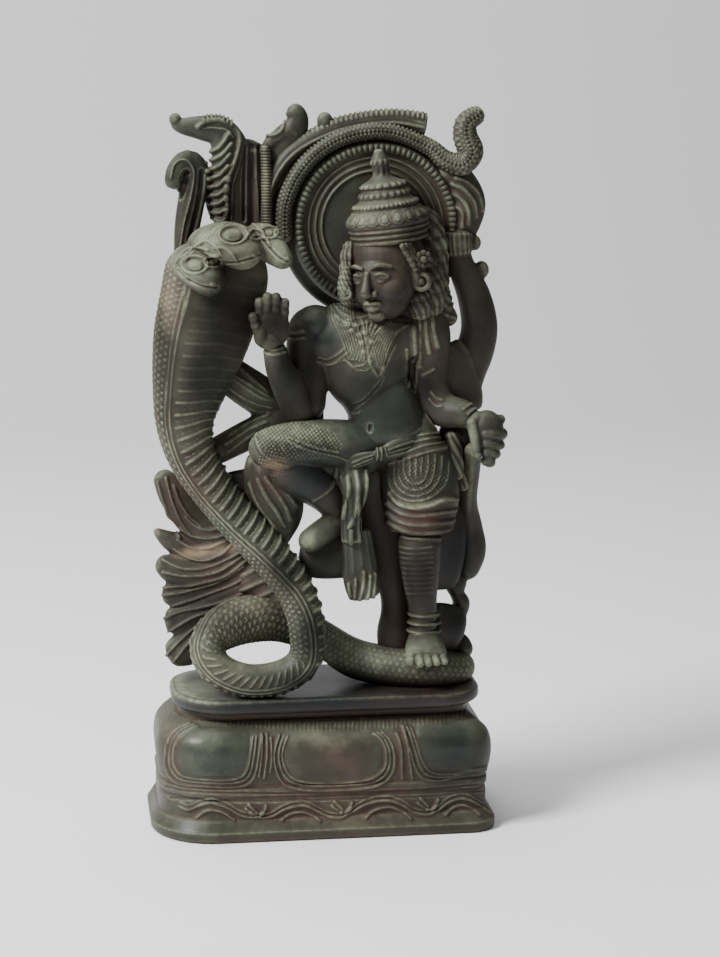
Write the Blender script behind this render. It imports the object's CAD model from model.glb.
# %% [markdown]
# # A carved stone figure, a cobra and a pierced arch
# The real piece is one block of soft dark stone. A carver sawed the outline, drilled the gaps and
# then cut every form down from the front. This lesson builds the carving form by form over the
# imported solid. Each form is rolled or turned from a primitive, and its fine cuts are then pressed
# into the mesh, much as a sculptor works with a brush.

import math

import bpy
import numpy as np
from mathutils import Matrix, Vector


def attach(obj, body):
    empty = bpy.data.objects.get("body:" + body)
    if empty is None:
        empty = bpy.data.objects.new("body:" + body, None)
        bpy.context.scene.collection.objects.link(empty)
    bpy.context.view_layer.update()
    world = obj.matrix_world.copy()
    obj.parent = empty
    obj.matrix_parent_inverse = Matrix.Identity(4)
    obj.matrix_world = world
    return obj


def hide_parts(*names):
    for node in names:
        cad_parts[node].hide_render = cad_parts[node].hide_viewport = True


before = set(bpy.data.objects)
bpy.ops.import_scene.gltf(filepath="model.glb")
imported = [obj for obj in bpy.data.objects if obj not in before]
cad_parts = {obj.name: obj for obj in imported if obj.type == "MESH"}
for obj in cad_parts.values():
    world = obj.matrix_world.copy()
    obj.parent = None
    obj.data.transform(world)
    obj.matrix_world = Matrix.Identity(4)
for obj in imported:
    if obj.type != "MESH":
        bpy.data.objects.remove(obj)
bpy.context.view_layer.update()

# %% [markdown]
# ## Camera
# The camera stands a little to the left of the front and looks down by a few degrees, as the
# photograph was taken. The same numbers are used again later, to press a line into the stone where
# it is seen, so they are kept as plain values here.

# %% Camera at the photograph's view
MM = 0.001
CAMERA_TURN = math.radians(-7.5)
CAMERA_RISE = math.radians(11)
CAMERA_DISTANCE = 760.0
CAMERA_AIM = np.array([13.2, 0.0, 108.2])
PHOTO_WIDTH = 720
PHOTO_HEIGHT = 957
FOCAL_PIXELS = 2451.6
SENSOR = 36.0

CAMERA_BACK = np.array([
    math.sin(CAMERA_TURN) * math.cos(CAMERA_RISE),
    -math.cos(CAMERA_TURN) * math.cos(CAMERA_RISE),
    math.sin(CAMERA_RISE),
])
CAMERA_RIGHT = np.array([math.cos(CAMERA_TURN), math.sin(CAMERA_TURN), 0.0])
CAMERA_UP = np.cross(CAMERA_BACK, CAMERA_RIGHT)

camera_data = bpy.data.cameras.new("camera")
camera_data.sensor_fit = "VERTICAL"
camera_data.sensor_height = SENSOR
camera_data.sensor_width = SENSOR
camera_data.lens = SENSOR * FOCAL_PIXELS / PHOTO_HEIGHT
camera_data.clip_end = 20
camera = bpy.data.objects.new("camera", camera_data)
bpy.context.scene.collection.objects.link(camera)
camera.location = Vector(tuple((CAMERA_AIM + CAMERA_BACK * CAMERA_DISTANCE) * MM))
camera.rotation_euler = Vector(tuple(CAMERA_BACK)).to_track_quat("Z", "Y").to_euler()
bpy.context.scene.camera = camera
print("camera lens", round(camera_data.lens, 1), "mm")


def seen_at(points):
    """Where points in millimetres are seen, in pixels of the photograph, and millimetres per pixel."""
    away = points - CAMERA_AIM
    depth = CAMERA_DISTANCE - away @ CAMERA_BACK
    across = PHOTO_WIDTH / 2 + FOCAL_PIXELS * (away @ CAMERA_RIGHT) / depth
    down = PHOTO_HEIGHT / 2 - FOCAL_PIXELS * (away @ CAMERA_UP) / depth
    return across, down, depth / FOCAL_PIXELS


# %% [markdown]
# ## Floor and light
# A sweep of pale paper is a flat sheet whose far side curves up, so there is no corner to see. Two
# large soft lamps and a pale world keep the dark stone readable without hard shadows.

# %% Pale sweep, lamps and world
FLOOR_HALF = 1.6
SWEEP_START = 0.7
SWEEP_RADIUS = 0.6


def clear_selection():
    """Nothing is selected before a new primitive is added."""
    if bpy.context.object and bpy.context.object.mode != "OBJECT":
        bpy.ops.object.mode_set(mode="OBJECT")
    bpy.ops.object.select_all(action="DESELECT")


def points_of(piece):
    """The mesh's points in millimetres, one row each."""
    flat = np.empty(len(piece.data.vertices) * 3, np.float32)
    piece.data.vertices.foreach_get("co", flat)
    return flat.reshape(-1, 3).astype(float) / MM


def put_points(piece, points):
    """Moves the mesh's points to these places, in millimetres."""
    piece.data.vertices.foreach_set("co", (points * MM).astype(np.float32).ravel())
    piece.data.update()


clear_selection()
bpy.ops.mesh.primitive_grid_add(x_subdivisions=2, y_subdivisions=80, size=2 * FLOOR_HALF)
sweep_paper = bpy.context.object
sweep_paper.name = "paper_sweep"
paper = points_of(sweep_paper) * MM
past = np.clip(paper[:, 1] - SWEEP_START, 0, None)
bend = np.minimum(past / SWEEP_RADIUS, math.pi / 2)
straight = np.clip(past - SWEEP_RADIUS * math.pi / 2, 0, None)
paper[:, 1] = np.minimum(paper[:, 1], SWEEP_START) + SWEEP_RADIUS * np.sin(bend)
paper[:, 2] = SWEEP_RADIUS * (1 - np.cos(bend)) + straight
put_points(sweep_paper, paper / MM)
bpy.ops.object.shade_smooth()

paper_stuff = bpy.data.materials.new("pale_paper")
paper_stuff.use_nodes = True
paper_shader = paper_stuff.node_tree.nodes["Principled BSDF"]
paper_shader.inputs["Base Color"].default_value = (0.89, 0.88, 0.89, 1)
paper_shader.inputs["Roughness"].default_value = 0.9
sweep_paper.data.materials.append(paper_stuff)


def lamp(name, place, target, size, power):
    """A square soft lamp that shines at a target."""
    light = bpy.data.lights.new(name, "AREA")
    light.shape = "SQUARE"
    light.size = size
    light.energy = power
    holder = bpy.data.objects.new(name, light)
    bpy.context.scene.collection.objects.link(holder)
    holder.location = place
    away = Vector(place) - Vector(target)
    holder.rotation_euler = away.to_track_quat("Z", "Y").to_euler()
    return holder


MIDDLE = (0, 0, 0.11)
lamp("lamp_left", (-0.85, -0.42, 0.92), MIDDLE, 0.4, 31)
lamp("lamp_right", (0.9, -0.7, 0.4), MIDDLE, 0.9, 0.8)
lamp("lamp_above", (-0.15, 0.1, 1.2), MIDDLE, 0.7, 11)

world = bpy.data.worlds.new("pale_room")
world.use_nodes = True
world.node_tree.nodes["Background"].inputs["Color"].default_value = (0.93, 0.93, 0.95, 1)
world.node_tree.nodes["Background"].inputs["Strength"].default_value = 0.13
bpy.context.scene.world = world

# %% [markdown]
# ## The carver's helpers
# Nearly every form here is a tapering roll that bends: a limb, a strap, a leaf, the cobra itself.
# By hand this would be a curve with a bevel, or a cylinder extruded ring by ring. Here a grid is
# rolled round a smooth route, its long edges are merged, and its ends are drawn in to a point. That
# keeps rows and columns in order, so scales and ribs can follow the form exactly.

# %% A smooth route and a grid rolled round it
FRONT = np.array([0.0, -1.0, 0.0])
UPWARD = np.array([0.0, 0.0, 1.0])
TURN = 2 * math.pi


def smooth_line(stations, step):
    """Rows evenly spaced along a smooth line through the stations, and how far along each row is.
    The last column of a row is its place counted in stations."""
    rows = np.array([[*station, k] for k, station in enumerate(stations)], float)
    ends = np.vstack([2 * rows[0] - rows[1], rows, 2 * rows[-1] - rows[-2]])
    place = np.linspace(0, len(rows) - 1, 60 * (len(rows) - 1) + 1)
    first = np.minimum(place.astype(int), len(rows) - 2)
    t = (place - first)[:, None]
    a, b, c, d = (ends[first + k] for k in range(4))
    fine = 0.5 * (2 * b + (c - a) * t + (2 * a - 5 * b + 4 * c - d) * t**2
                  + (3 * b - a - 3 * c + d) * t**3)
    gaps = np.linalg.norm(np.diff(fine[:, :3], axis=0), axis=1)
    travelled = np.concatenate([[0], np.cumsum(gaps)])
    count = max(int(round(travelled[-1] / step)), 4)
    wanted = np.linspace(0, travelled[-1], count + 1)
    even = np.column_stack([np.interp(wanted, travelled, column) for column in fine.T])
    return even, wanted


def unit(vectors):
    """The same directions, each one long."""
    return vectors / np.maximum(np.linalg.norm(vectors, axis=-1, keepdims=True), 1e-9)


def close_up(piece):
    """Merges points that meet, turns the faces outward and shades the piece smooth."""
    bpy.context.view_layer.objects.active = piece
    piece.select_set(True)
    bpy.ops.object.mode_set(mode="EDIT")
    bpy.ops.mesh.select_all(action="SELECT")
    bpy.ops.mesh.remove_doubles(threshold=0.02 * MM)
    bpy.ops.mesh.normals_make_consistent(inside=False)
    bpy.ops.object.mode_set(mode="OBJECT")
    bpy.ops.object.shade_smooth()
    return piece


def roll(name, stations, sides=24, step=0.8, faces=FRONT, relief=None, tip=1.0, square=1.0):
    """A closed form round a smooth route. A station is x, y, z, half width and half depth in mm,
    with the depth towards `faces`. `relief` gives how far the surface stands out, from the distance
    along, the angle (0 towards `faces`), the place in stations, and the mean radius there."""
    rows, travelled = smooth_line(stations, step)
    clear_selection()
    bpy.ops.mesh.primitive_grid_add(x_subdivisions=sides, y_subdivisions=len(rows) - 1, size=2)
    piece = bpy.context.object
    piece.name = name
    at = points_of(piece) * MM
    angle = at[:, 0] * math.pi
    row = np.rint((at[:, 1] + 1) / 2 * (len(rows) - 1)).astype(int)
    forward = unit(np.gradient(rows[:, :3], axis=0))
    out = unit(faces - (forward @ faces)[:, None] * forward)
    side = np.cross(forward, out)
    length = travelled[-1]
    half = np.maximum(np.minimum(rows[:, 3], rows[:, 4]) * tip, 1e-6)
    near_end = np.minimum(travelled, length - travelled)
    closing = np.sqrt(np.clip(1 - np.clip(1 - near_end / half, 0, 1) ** 2, 0, 1))
    raised = 0
    if relief is not None:
        radius = (rows[row, 3] + rows[row, 4]) / 2
        raised = relief(travelled[row], angle, rows[row, -1], radius) * closing[row]
    swell_x = np.sign(np.sin(angle)) * np.abs(np.sin(angle)) ** square
    swell_y = np.sign(np.cos(angle)) * np.abs(np.cos(angle)) ** square
    width = (rows[row, 3] * closing[row] + raised) * swell_x
    depth = (rows[row, 4] * closing[row] + raised) * swell_y
    put_points(piece, rows[row, :3] + side[row] * width[:, None] + out[row] * depth[:, None])
    return close_up(piece)


def ball(name, middle, half_sizes, turned=(0, 0, 0)):
    """An ellipsoid pressed from a round primitive."""
    clear_selection()
    bpy.ops.mesh.primitive_uv_sphere_add(
        segments=32, ring_count=20, location=Vector(middle) * MM, rotation=turned)
    piece = bpy.context.object
    piece.name = name
    piece.scale = Vector(half_sizes) * MM
    bpy.ops.object.transform_apply(location=True, rotation=True, scale=True)
    return piece


def gather(name, pieces):
    """Joins separate pieces into one object."""
    clear_selection()
    for piece in pieces:
        piece.select_set(True)
    bpy.context.view_layer.objects.active = pieces[0]
    if len(pieces) > 1:
        bpy.ops.object.join()
    whole = bpy.context.object
    whole.name = name
    whole.data.name = name
    return whole


def fuse(name, pieces, voxel, rounds):
    """Grows pieces together into one skin, as clay lumps are smoothed into one body."""
    whole = gather(name, pieces)
    skin = whole.modifiers.new("skin", "REMESH")
    skin.mode = "VOXEL"
    skin.voxel_size = voxel * MM
    bpy.ops.object.modifier_apply(modifier="skin")
    soften = whole.modifiers.new("soften", "SMOOTH")
    soften.factor = 0.5
    soften.iterations = rounds
    bpy.ops.object.modifier_apply(modifier="soften")
    bpy.ops.object.shade_smooth()
    return whole


# %% [markdown]
# ## Drawing into the stone
# A carver draws a line on the face of the block and cuts along it. The brush below does the same:
# it takes a line as it is seen from the front, finds the points of the mesh near it, and moves them
# along their own normals. A raised line gets a positive height and a groove a negative one.

# %% A brush that raises or cuts a line
def normals_of(piece):
    """The mesh's point normals, one row each."""
    flat = np.empty(len(piece.data.vertices) * 3, np.float32)
    piece.data.vertex_normals.foreach_get("vector", flat)
    return flat.reshape(-1, 3).astype(float)


def nearest_on_line(x, y, line):
    """How far points are from a line of many short straight runs, and the run each is nearest."""
    best = np.full(len(x), np.inf)
    which = np.zeros(len(x), int)
    for k in range(len(line) - 1):
        ax, ay = line[k]
        bx, by = line[k + 1]
        dx, dy = bx - ax, by - ay
        t = np.clip(((x - ax) * dx + (y - ay) * dy) / max(dx * dx + dy * dy, 1e-9), 0, 1)
        gap = np.hypot(x - ax - t * dx, y - ay - t * dy)
        closer = gap < best
        best[closer] = gap[closer]
        which[closer] = k
    return best, which


def draw_all(piece, lines, width, height, nearest_y=None, furthest_y=None, pitch=3.0, fade=0.0):
    """Raises (or cuts, with a negative height) lines that are given in pixels of the photograph.
    Width and height are in millimetres. The depths limit which layer of the carving is touched."""
    points = points_of(piece)
    normals = normals_of(piece)
    across, down, per_pixel = seen_at(points)
    facing = np.clip((normals @ CAMERA_BACK - 0.05) / 0.3, 0, 1)
    if nearest_y is not None:
        facing = facing * (points[:, 1] > nearest_y)
    if furthest_y is not None:
        facing = facing * (points[:, 1] < furthest_y)
    push = np.zeros(len(points))
    reach = width / 0.3 + 2
    for line in lines:
        fine, _ = smooth_line([(x, y, 0) for x, y in line], pitch)
        low = fine[:, :2].min(0) - reach
        high = fine[:, :2].max(0) + reach
        near = np.flatnonzero((across > low[0]) & (across < high[0]) & (down > low[1])
                              & (down < high[1]) & (facing > 0))
        if not len(near):
            continue
        gap, run = nearest_on_line(across[near], down[near], fine[:, :2])
        inside = np.clip(1 - gap * per_pixel[near] / (width / 2), 0, 1)
        bump = np.sin(inside * math.pi / 2) ** 2
        if fade:
            share = run / max(len(fine) - 2, 1)
            bump = bump * np.clip(np.minimum(share, 1 - share) / fade, 0, 1)
        push[near] = np.maximum(push[near], bump)
    put_points(piece, points + normals * (push * facing * height)[:, None])
    return piece


# %% [markdown]
# ## Plinth
# The plinth is a block with rounded corners and a moulded edge, like a cornice run in plaster: one
# profile is pulled round the outline. The profile goes up from the floor over a rounded slab edge, a
# sloping scroll band, two thin ledges and a broad cushion of petals to a dark neck. A second, thin
# slab with fully rounded ends lies on top, and the figure stands on it. The outline is a grid whose
# columns are close together on the carved front and wide apart on the plain back.

# %% A profile pulled round a rounded outline
PLINTH = {"x": 0, "y": 0, "width": 107, "depth": 50, "corner": 9, "near_left": 20}
TOP_SLAB = {"x": 1.6, "y": -0.5, "width": 96, "depth": 41, "corner": 14, "near_left": 17.5}
PLINTH_PROFILE = [
    (0, 1.2), (0.5, 0.3), (1.4, 0), (3.2, 0), (3.9, 0.5), (6.4, 1.9), (6.9, 2.4), (8.6, 2.7),
    (11.8, 2.7), (13.0, 3.0), (13.6, 3.0), (14.2, 2.6), (15.4, 2.4), (16.4, 2.5), (16.9, 2.8),
    (17.6, 2.9), (18.2, 2.7), (19.6, 2.6), (22, 2.4), (25, 2.2), (28, 2.4), (31, 3.2), (33.4, 4.8),
    (35.2, 6.6), (36.4, 8.0), (37, 9.0), (39.6, 9.0),
]
TOP_PROFILE = [(38.9, 2.4), (39.6, 0.9), (40.6, 0.1), (42, 0), (43.2, 0.2), (43.8, 0.8), (44, 2)]
CAP_RINGS = 14


def outline_columns(front, corner, end, back):
    """Columns round a rounded outline from the middle of the back: the corner each leans to, and
    the way each faces. Runs go back, left end, front, right end, in order round the block."""
    half_back = back // 2
    runs = [
        (half_back, (0, 1), (-1, 1), 90), (corner, (-1, 1), (-1, 1), 90),
        (end, (-1, 1), (-1, -1), 180), (corner, (-1, -1), (-1, -1), 180),
        (front, (-1, -1), (1, -1), 270), (corner, (1, -1), (1, -1), 270),
        (end, (1, -1), (1, 1), 360), (corner, (1, 1), (1, 1), 360),
        (half_back, (1, 1), (0, 1), 450),
    ]
    lean, facing = [], []
    for count, first, last, degrees in runs:
        turning = first == last
        for k in range(count):
            part = k / count
            lean.append([first[0] + (last[0] - first[0]) * part, first[1] + (last[1] - first[1]) * part])
            angle = math.radians(degrees + (90 * part if turning else 0))
            facing.append([math.cos(angle), math.sin(angle)])
    lean.append(lean[0])
    facing.append(facing[0])
    return np.array(lean), np.array(facing)


def moulding(name, block, profile, columns, step):
    """Pulls a profile of (height, distance inside the edge) round a block and closes both ends."""
    rows, _ = smooth_line([(inset, 0, height) for height, inset in profile], step)
    soft = rows[:, [2, 0]]
    caps = np.linspace(0, 1, CAP_RINGS, endpoint=False)
    low = [[soft[0, 0], soft[0, 1], share] for share in caps]
    high = [[soft[-1, 0], soft[-1, 1], share] for share in caps[::-1]]
    rings = np.array(low + [[z, inset, 1] for z, inset in soft] + high)
    lean, facing = columns
    clear_selection()
    bpy.ops.mesh.primitive_grid_add(x_subdivisions=len(lean) - 1, y_subdivisions=len(rings) - 1, size=2)
    piece = bpy.context.object
    piece.name = name
    at = points_of(piece) * MM
    column = np.rint((at[:, 0] + 1) / 2 * (len(lean) - 1)).astype(int)
    ring = np.rint((at[:, 1] + 1) / 2 * (len(rings) - 1)).astype(int)
    z, inset, share = rings[ring].T
    turn = (1 - lean[column, 0]) * (1 - lean[column, 1]) / 4
    corner = block["corner"] + (block["near_left"] - block["corner"]) * turn
    corner = np.clip(corner - inset * 0.6, 1.5, None)
    flat_x = block["width"] / 2 - inset - corner
    flat_y = block["depth"] / 2 - inset - corner
    x = (lean[column, 0] * flat_x + facing[column, 0] * corner) * share + block["x"]
    y = (lean[column, 1] * flat_y + facing[column, 1] * corner) * share + block["y"]
    put_points(piece, np.column_stack([x, y, z]))
    return close_up(piece)


plinth = moulding("plinth", PLINTH, PLINTH_PROFILE, outline_columns(230, 44, 34, 40), 0.36)
top_slab = moulding("top_slab", TOP_SLAB, TOP_PROFILE, outline_columns(120, 60, 16, 60), 0.3)
PILLOWS = [(211, 752, 38, 25), (333, 756, 50, 27), (462, 745, 46, 26)]
PILLOW_RELIEF = 1.3


def raise_pillows(piece):
    """Swells the middle of each petal panel a little, as the carver leaves it."""
    points, normals = points_of(piece), normals_of(piece)
    across, down, _ = seen_at(points)
    swell = np.zeros(len(points))
    for x, y, half_x, half_y in PILLOWS:
        u, v = (across - x) / half_x, (down - y) / half_y
        room = np.clip(1 - np.abs(u) ** 2.6, 0, 1) * np.clip(1 - np.abs(v) ** 2.6, 0, 1)
        swell = np.maximum(swell, room ** 0.7 * PILLOW_RELIEF)
    put_points(piece, points + normals * (swell * (normals[:, 1] < -0.2))[:, None])


raise_pillows(plinth)
print("plinth faces", len(plinth.data.polygons), "top slab faces", len(top_slab.data.polygons))

# %% [markdown]
# ### Petals and scroll band
# Three broad petals lie on the cushion. Each is a smooth panel, open at the top, inside three raised
# lines that turn round its lower corners. Narrow buds stand between them. Below, a wave with small
# leaves runs along the sloping band. All of these are lines, so the brush presses them in.

# %% Petal outlines, buds, ledges and the scroll wave
PETAL_LINES = {
    "left": [(198, 726), (183, 733), (176, 743), (173.5, 755), (175, 766), (182, 775), (196, 778.5),
             (220, 780), (238, 778), (246, 771), (250, 757), (253, 737)],
    "middle": [(288, 736), (283, 749), (283, 761), (288, 773), (298, 780), (322, 783), (358, 781),
               (376, 776), (385, 766), (386, 751), (381, 740), (374, 734)],
    "right": [(411, 728), (418, 747), (423, 762), (431, 772), (448, 774), (470, 770), (486, 767)],
}
PETAL_MIDDLES = {"left": (214, 742), "middle": (334, 742), "right": (472, 738)}
LINE_SPREAD = (1.0, 1.08, 1.18)
BUD_LINES = [
    [(262, 734), (262, 752), (259, 776)], [(267, 734), (267, 755), (264, 778)],
    [(271, 738), (272, 756), (270, 772)], [(397, 734), (401, 748), (402, 778)],
    [(404, 730), (408, 748), (412, 778)],
]
LEDGE_LINES = [
    [(166, 786), (190, 791), (240, 793), (330, 793), (420, 790), (487, 784)],
    [(170, 797), (200, 800), (250, 801), (340, 799), (430, 796), (490, 790)],
]
WAVE = [
    (180, 806), (188, 810), (198, 806), (212, 803), (228, 808), (242, 816), (258, 818), (271, 817),
    (283, 810), (296, 806), (307, 806), (319, 812), (329, 817), (341, 818), (352, 812), (364, 805),
    (378, 801), (391, 801), (404, 806), (414, 813), (427, 815), (437, 811), (447, 803), (457, 799),
    (467, 799), (477, 804), (488, 812),
]
BUDS = [(258, 812), (344, 809), (430, 806)]
BUD_LEAVES = [[(-12, -3), (-7, 1), (-2, 4)], [(-9, -7), (-5, -3), (-1, 1)], [(2, 4), (6, 0), (8, -6)]]
INNER_ARCHES = [
    [(196, 818), (204, 812), (213, 810), (224, 813), (234, 820)],
    [(282, 820), (290, 814), (302, 812), (313, 816), (320, 821)],
    [(366, 818), (375, 810), (390, 807), (402, 812), (411, 819)],
    [(446, 815), (454, 807), (463, 805), (472, 809), (479, 815)],
]
NECK_EDGE = [(200, 716), (240, 722), (330, 726), (420, 721), (466, 713)]
TICK_STEP = 4.4
TICK_REACH = 4
TICK_ROW, _ = smooth_line([(x, y, 0) for x, y in NECK_EDGE], TICK_STEP)
NECK_TICKS = [[(x, y - TICK_REACH), (x, y + TICK_REACH)] for x, y, *_ in TICK_ROW]


petal_lines = []
for side, line in PETAL_LINES.items():
    for share in LINE_SPREAD:
        mid_x, mid_y = PETAL_MIDDLES[side]
        petal_lines.append([
            (x + (x - mid_x) / abs(x - mid_x) * (share - 1) * 45, mid_y + (y - mid_y) * share)
            for x, y in line])
draw_all(plinth, petal_lines, 1.25, 0.6)
draw_all(plinth, BUD_LINES, 1.3, 0.6)
draw_all(plinth, LEDGE_LINES, 1.0, -0.35)
draw_all(plinth, [WAVE, *INNER_ARCHES], 1.5, 0.75)
draw_all(plinth, [[(x, y - 4.5) for x, y in WAVE]], 1.1, 0.5)
leaves = [[(x + dx, y + dy) for dx, dy in leaf] for x, y in BUDS for leaf in BUD_LEAVES]
draw_all(plinth, leaves, 1.8, 0.7)
draw_all(plinth, NECK_TICKS, 0.9, 0.14)

# %% [markdown]
# ## Cobra
# One long body rises from under the figure's foot, turns once in an open ring on the plinth, leans
# back to the left and widens into a hood with three heads. The left margin of the hood has small
# bead scales. A double line runs down its whole length, and to the right of it lie the broad plates
# of the belly, each with a raised lip. The pattern is worked out from the distance along the body
# and the angle round it, so it follows every bend.

# %% Hood, neck, ring and the stretch under the foot
COIL = {"x": -20.4, "z": 58.4, "width": 30, "height": 18.8, "front": -16, "back": 0, "tube": 5.1}
COIL_STATIONS = 8
COIL_SWELL = 2.2
COIL_FROM = 0.3
COIL_TO = 5.6
HOOD = [
    (-29.5, -4, 184, 10, 6), (-30.5, -6, 175, 15.2, 7.6), (-33, -7, 164.5, 15.3, 8),
    (-36.4, -8, 152.5, 14.2, 8), (-39.4, -8, 140.5, 11.6, 8), (-41.2, -8, 129, 8.9, 7.5),
]
NECK = [
    (-39.3, -8, 118.5, 7.4, 7), (-33.6, -8, 108.5, 6.7, 6.6), (-25, -9, 97.5, 6.4, 6.3),
    (-15.5, -11, 86.5, 6.2, 6.2), (-8.4, -13, 76, 5.8, 5.8), (-5.4, -15, 66, 5.4, 5.4),
]
UNDER_FOOT = [
    (1.5, 0.5, 57, 5.4, 5.4), (11, -3, 51.4, 6, 6), (21.5, -7, 49.6, 5.9, 6),
    (32.5, -9, 48.8, 5.4, 6.4), (42.5, -5, 47.4, 5.2, 5.4), (46.6, 3, 47.4, 4.4, 4),
]
LINE_PLACES = (0, 5, 7, 8, 9, 10, 11, 13, 15, 16, 17, 18, 25)
LINE_ANGLES = (0.5, 0.56, 0.55, 0.4, 0.15, -0.15, -0.35, -0.6, -0.65, -1.0, -1.7, -2.2, -2.2)
PLATE_PITCH = 3.5
KNOB_PITCH = 2.3
TICK_PITCH = 2.5
TICK_SLANT = 0.7
BEAD_PITCH = 1.9


def coil_stations():
    """One turn of the ring, from the foot of the neck round to the back."""
    found = []
    for k in range(COIL_STATIONS):
        turned = COIL_FROM + (COIL_TO - COIL_FROM) * k / (COIL_STATIONS - 1)
        share = min(max((turned - TURN / 4) / (TURN * 3 / 4), 0), 1)
        depth = share * share * (3 - 2 * share)
        swell = COIL_SWELL * max(-math.sin(turned), 0)
        found.append((
            COIL["x"] + COIL["width"] / 2 * math.cos(turned),
            COIL["front"] + (COIL["back"] - COIL["front"]) * depth,
            COIL["z"] - COIL["height"] / 2 * math.sin(turned) - swell,
            COIL["tube"] + swell, COIL["tube"]))
    return found


def ridge(distance, width):
    """A round ridge, 1 at its middle and 0 past half its width."""
    return np.clip(1 - (2 * distance / width) ** 2, 0, 1)


def snake_skin(along, angle, station, radius):
    """Belly plates, a double line and small fish scales."""
    line = np.interp(station, LINE_PLACES, LINE_ANGLES)
    from_line = (angle - line) * radius
    on_ring = np.clip((station - 11) / 2, 0, 1)
    strength = np.interp(station, (2, 4, 5, 6, 8), (0.04, 0.1, 0.35, 0.8, 1))
    sag = 0.06 * np.clip(-from_line, 0, 10) ** 1.6
    share = ((along + sag) / PLATE_PITCH) % 1
    lip = np.exp(-((share - 0.5) / 0.14) ** 2) * 0.85 - 0.25 * share
    belly = np.clip(-from_line / 1.4 - 0.5, 0, 1) * (angle > -2.4)
    plates = lip * strength * belly * (1 - 0.7 * on_ring)
    row = from_line / BEAD_PITCH
    shift = 0.5 * (np.floor(row) % 2)
    scale = (along / BEAD_PITCH + shift + 0.35 * np.abs((row % 1) - 0.5)) % 1
    scales = (1 - scale) * np.sin(math.pi * (row % 1)) ** 0.5 * 0.3
    margin = np.clip(from_line / 1.2 - 1.1, 0, 1) * (angle < 2.8)
    ring_ribs = np.clip(-from_line / 1.2 - 0.6, 0, 1) * on_ring * (angle > -2.3)
    slant = TICK_SLANT * from_line
    knobs = np.cos(math.pi * (along - slant) / KNOB_PITCH) * np.cos(math.pi * (along + slant) / KNOB_PITCH)
    knobs = np.abs(knobs)
    on_bottom = np.clip(station - 11.6, 0, 1) * np.clip(16 - station, 0, 1)
    ticks = np.abs(np.cos(math.pi * (along + slant) / TICK_PITCH)) ** 8 * 0.42
    ticks = ticks * np.clip((6 - from_line) / 1.5, 0, 1)
    double = ridge(from_line - 0.1, 1.0) + ridge(from_line - 1.4, 1.0)
    inner = scales * (1 - on_bottom) * (1 - 0.6 * np.clip(station - 19.4, 0, 1)) + ticks * on_bottom
    return plates + inner * margin + 0.5 * knobs * ring_ribs + 0.5 * double


snake = roll("cobra_body", [*HOOD, *NECK, *coil_stations(), *UNDER_FOOT], sides=112, step=0.42,
             relief=snake_skin)
print("cobra body faces", len(snake.data.polygons))

# %% [markdown]
# ### Cobra heads
# The three heads hang over the hood like the peak of a cap. Each is a flat wedge that starts in the
# hood's top edge and ends in a blunt snout. The eyes are round bosses inside two cut rings, and rows
# of curved scales cover the crown of each head.

# %% Three heads with ringed eyes
HEADS = {
    "middle": [(-31, -2, 180, 9.4, 5.4), (-29.4, -8, 182.6, 10.6, 6.2), (-27, -13, 182.2, 10, 6),
               (-24.4, -17, 180, 7.4, 4.8), (-22, -21, 177.6, 3.6, 3.2)],
    "left": [(-38.6, -3, 176, 6, 5), (-38, -8, 177, 7.2, 5.8), (-36.2, -13.4, 175.2, 7.2, 5.6),
             (-34.2, -18, 172.2, 5.6, 4.6), (-32.6, -22, 169.4, 3, 2.8)],
    "right": [(-20, -1, 182, 4.8, 4.6), (-17.6, -6, 183.2, 5.6, 5), (-15.2, -11, 181.2, 5, 4.6),
              (-12.6, -14.6, 178.6, 3.8, 3.4), (-10.8, -17.5, 176.2, 2.4, 2)],
}
EYES = {"middle": (233, 235, 10.5), "left": (195, 265, 9.5), "right": (269, 233, 5.5)}
FAR_EYES = {"middle": (256, 235, 4.5), "left": (213, 262, 5.5), "right": (281, 234, 3.2)}
EYE_SQUASH = 0.68
SNOUT_LINES = [[(178, 270), (184, 277), (192, 282), (204, 287), (217, 287)],
               [(218, 261), (228, 263), (242, 261), (260, 255)],
               [(264, 240), (272, 250), (280, 258), (288, 261)]]
BROW_LINES = [
    [(196, 246), (206, 241), (216, 247), (221, 255)], [(176, 262), (184, 252), (196, 247), (208, 250)],
    [(250, 223), (258, 228), (266, 238), (270, 246)], [(214, 248), (224, 248), (232, 254), (236, 260)],
    [(206, 252), (212, 255), (219, 255)], [(262, 226), (272, 226), (280, 230)],
]
HEAD_SCALE_MIDDLES = [
    (206, 238), (211, 235), (216, 231), (221, 227), (226, 225), (184, 258), (190, 254), (196, 252),
]
HEAD_SCALES = [[(x - 10, y + 9), (x - 5, y + 2), (x + 3, y - 5)] for x, y in HEAD_SCALE_MIDDLES]
NOSTRILS = [(213, 285), (186, 277), (255, 256), (286, 259)]


def ring_line(x, y, radius):
    """A closed ring, flattened like the eyes."""
    swing = np.linspace(0, TURN, 21)
    return list(zip(x + radius * np.cos(swing), y + radius * EYE_SQUASH * np.sin(swing)))


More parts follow.
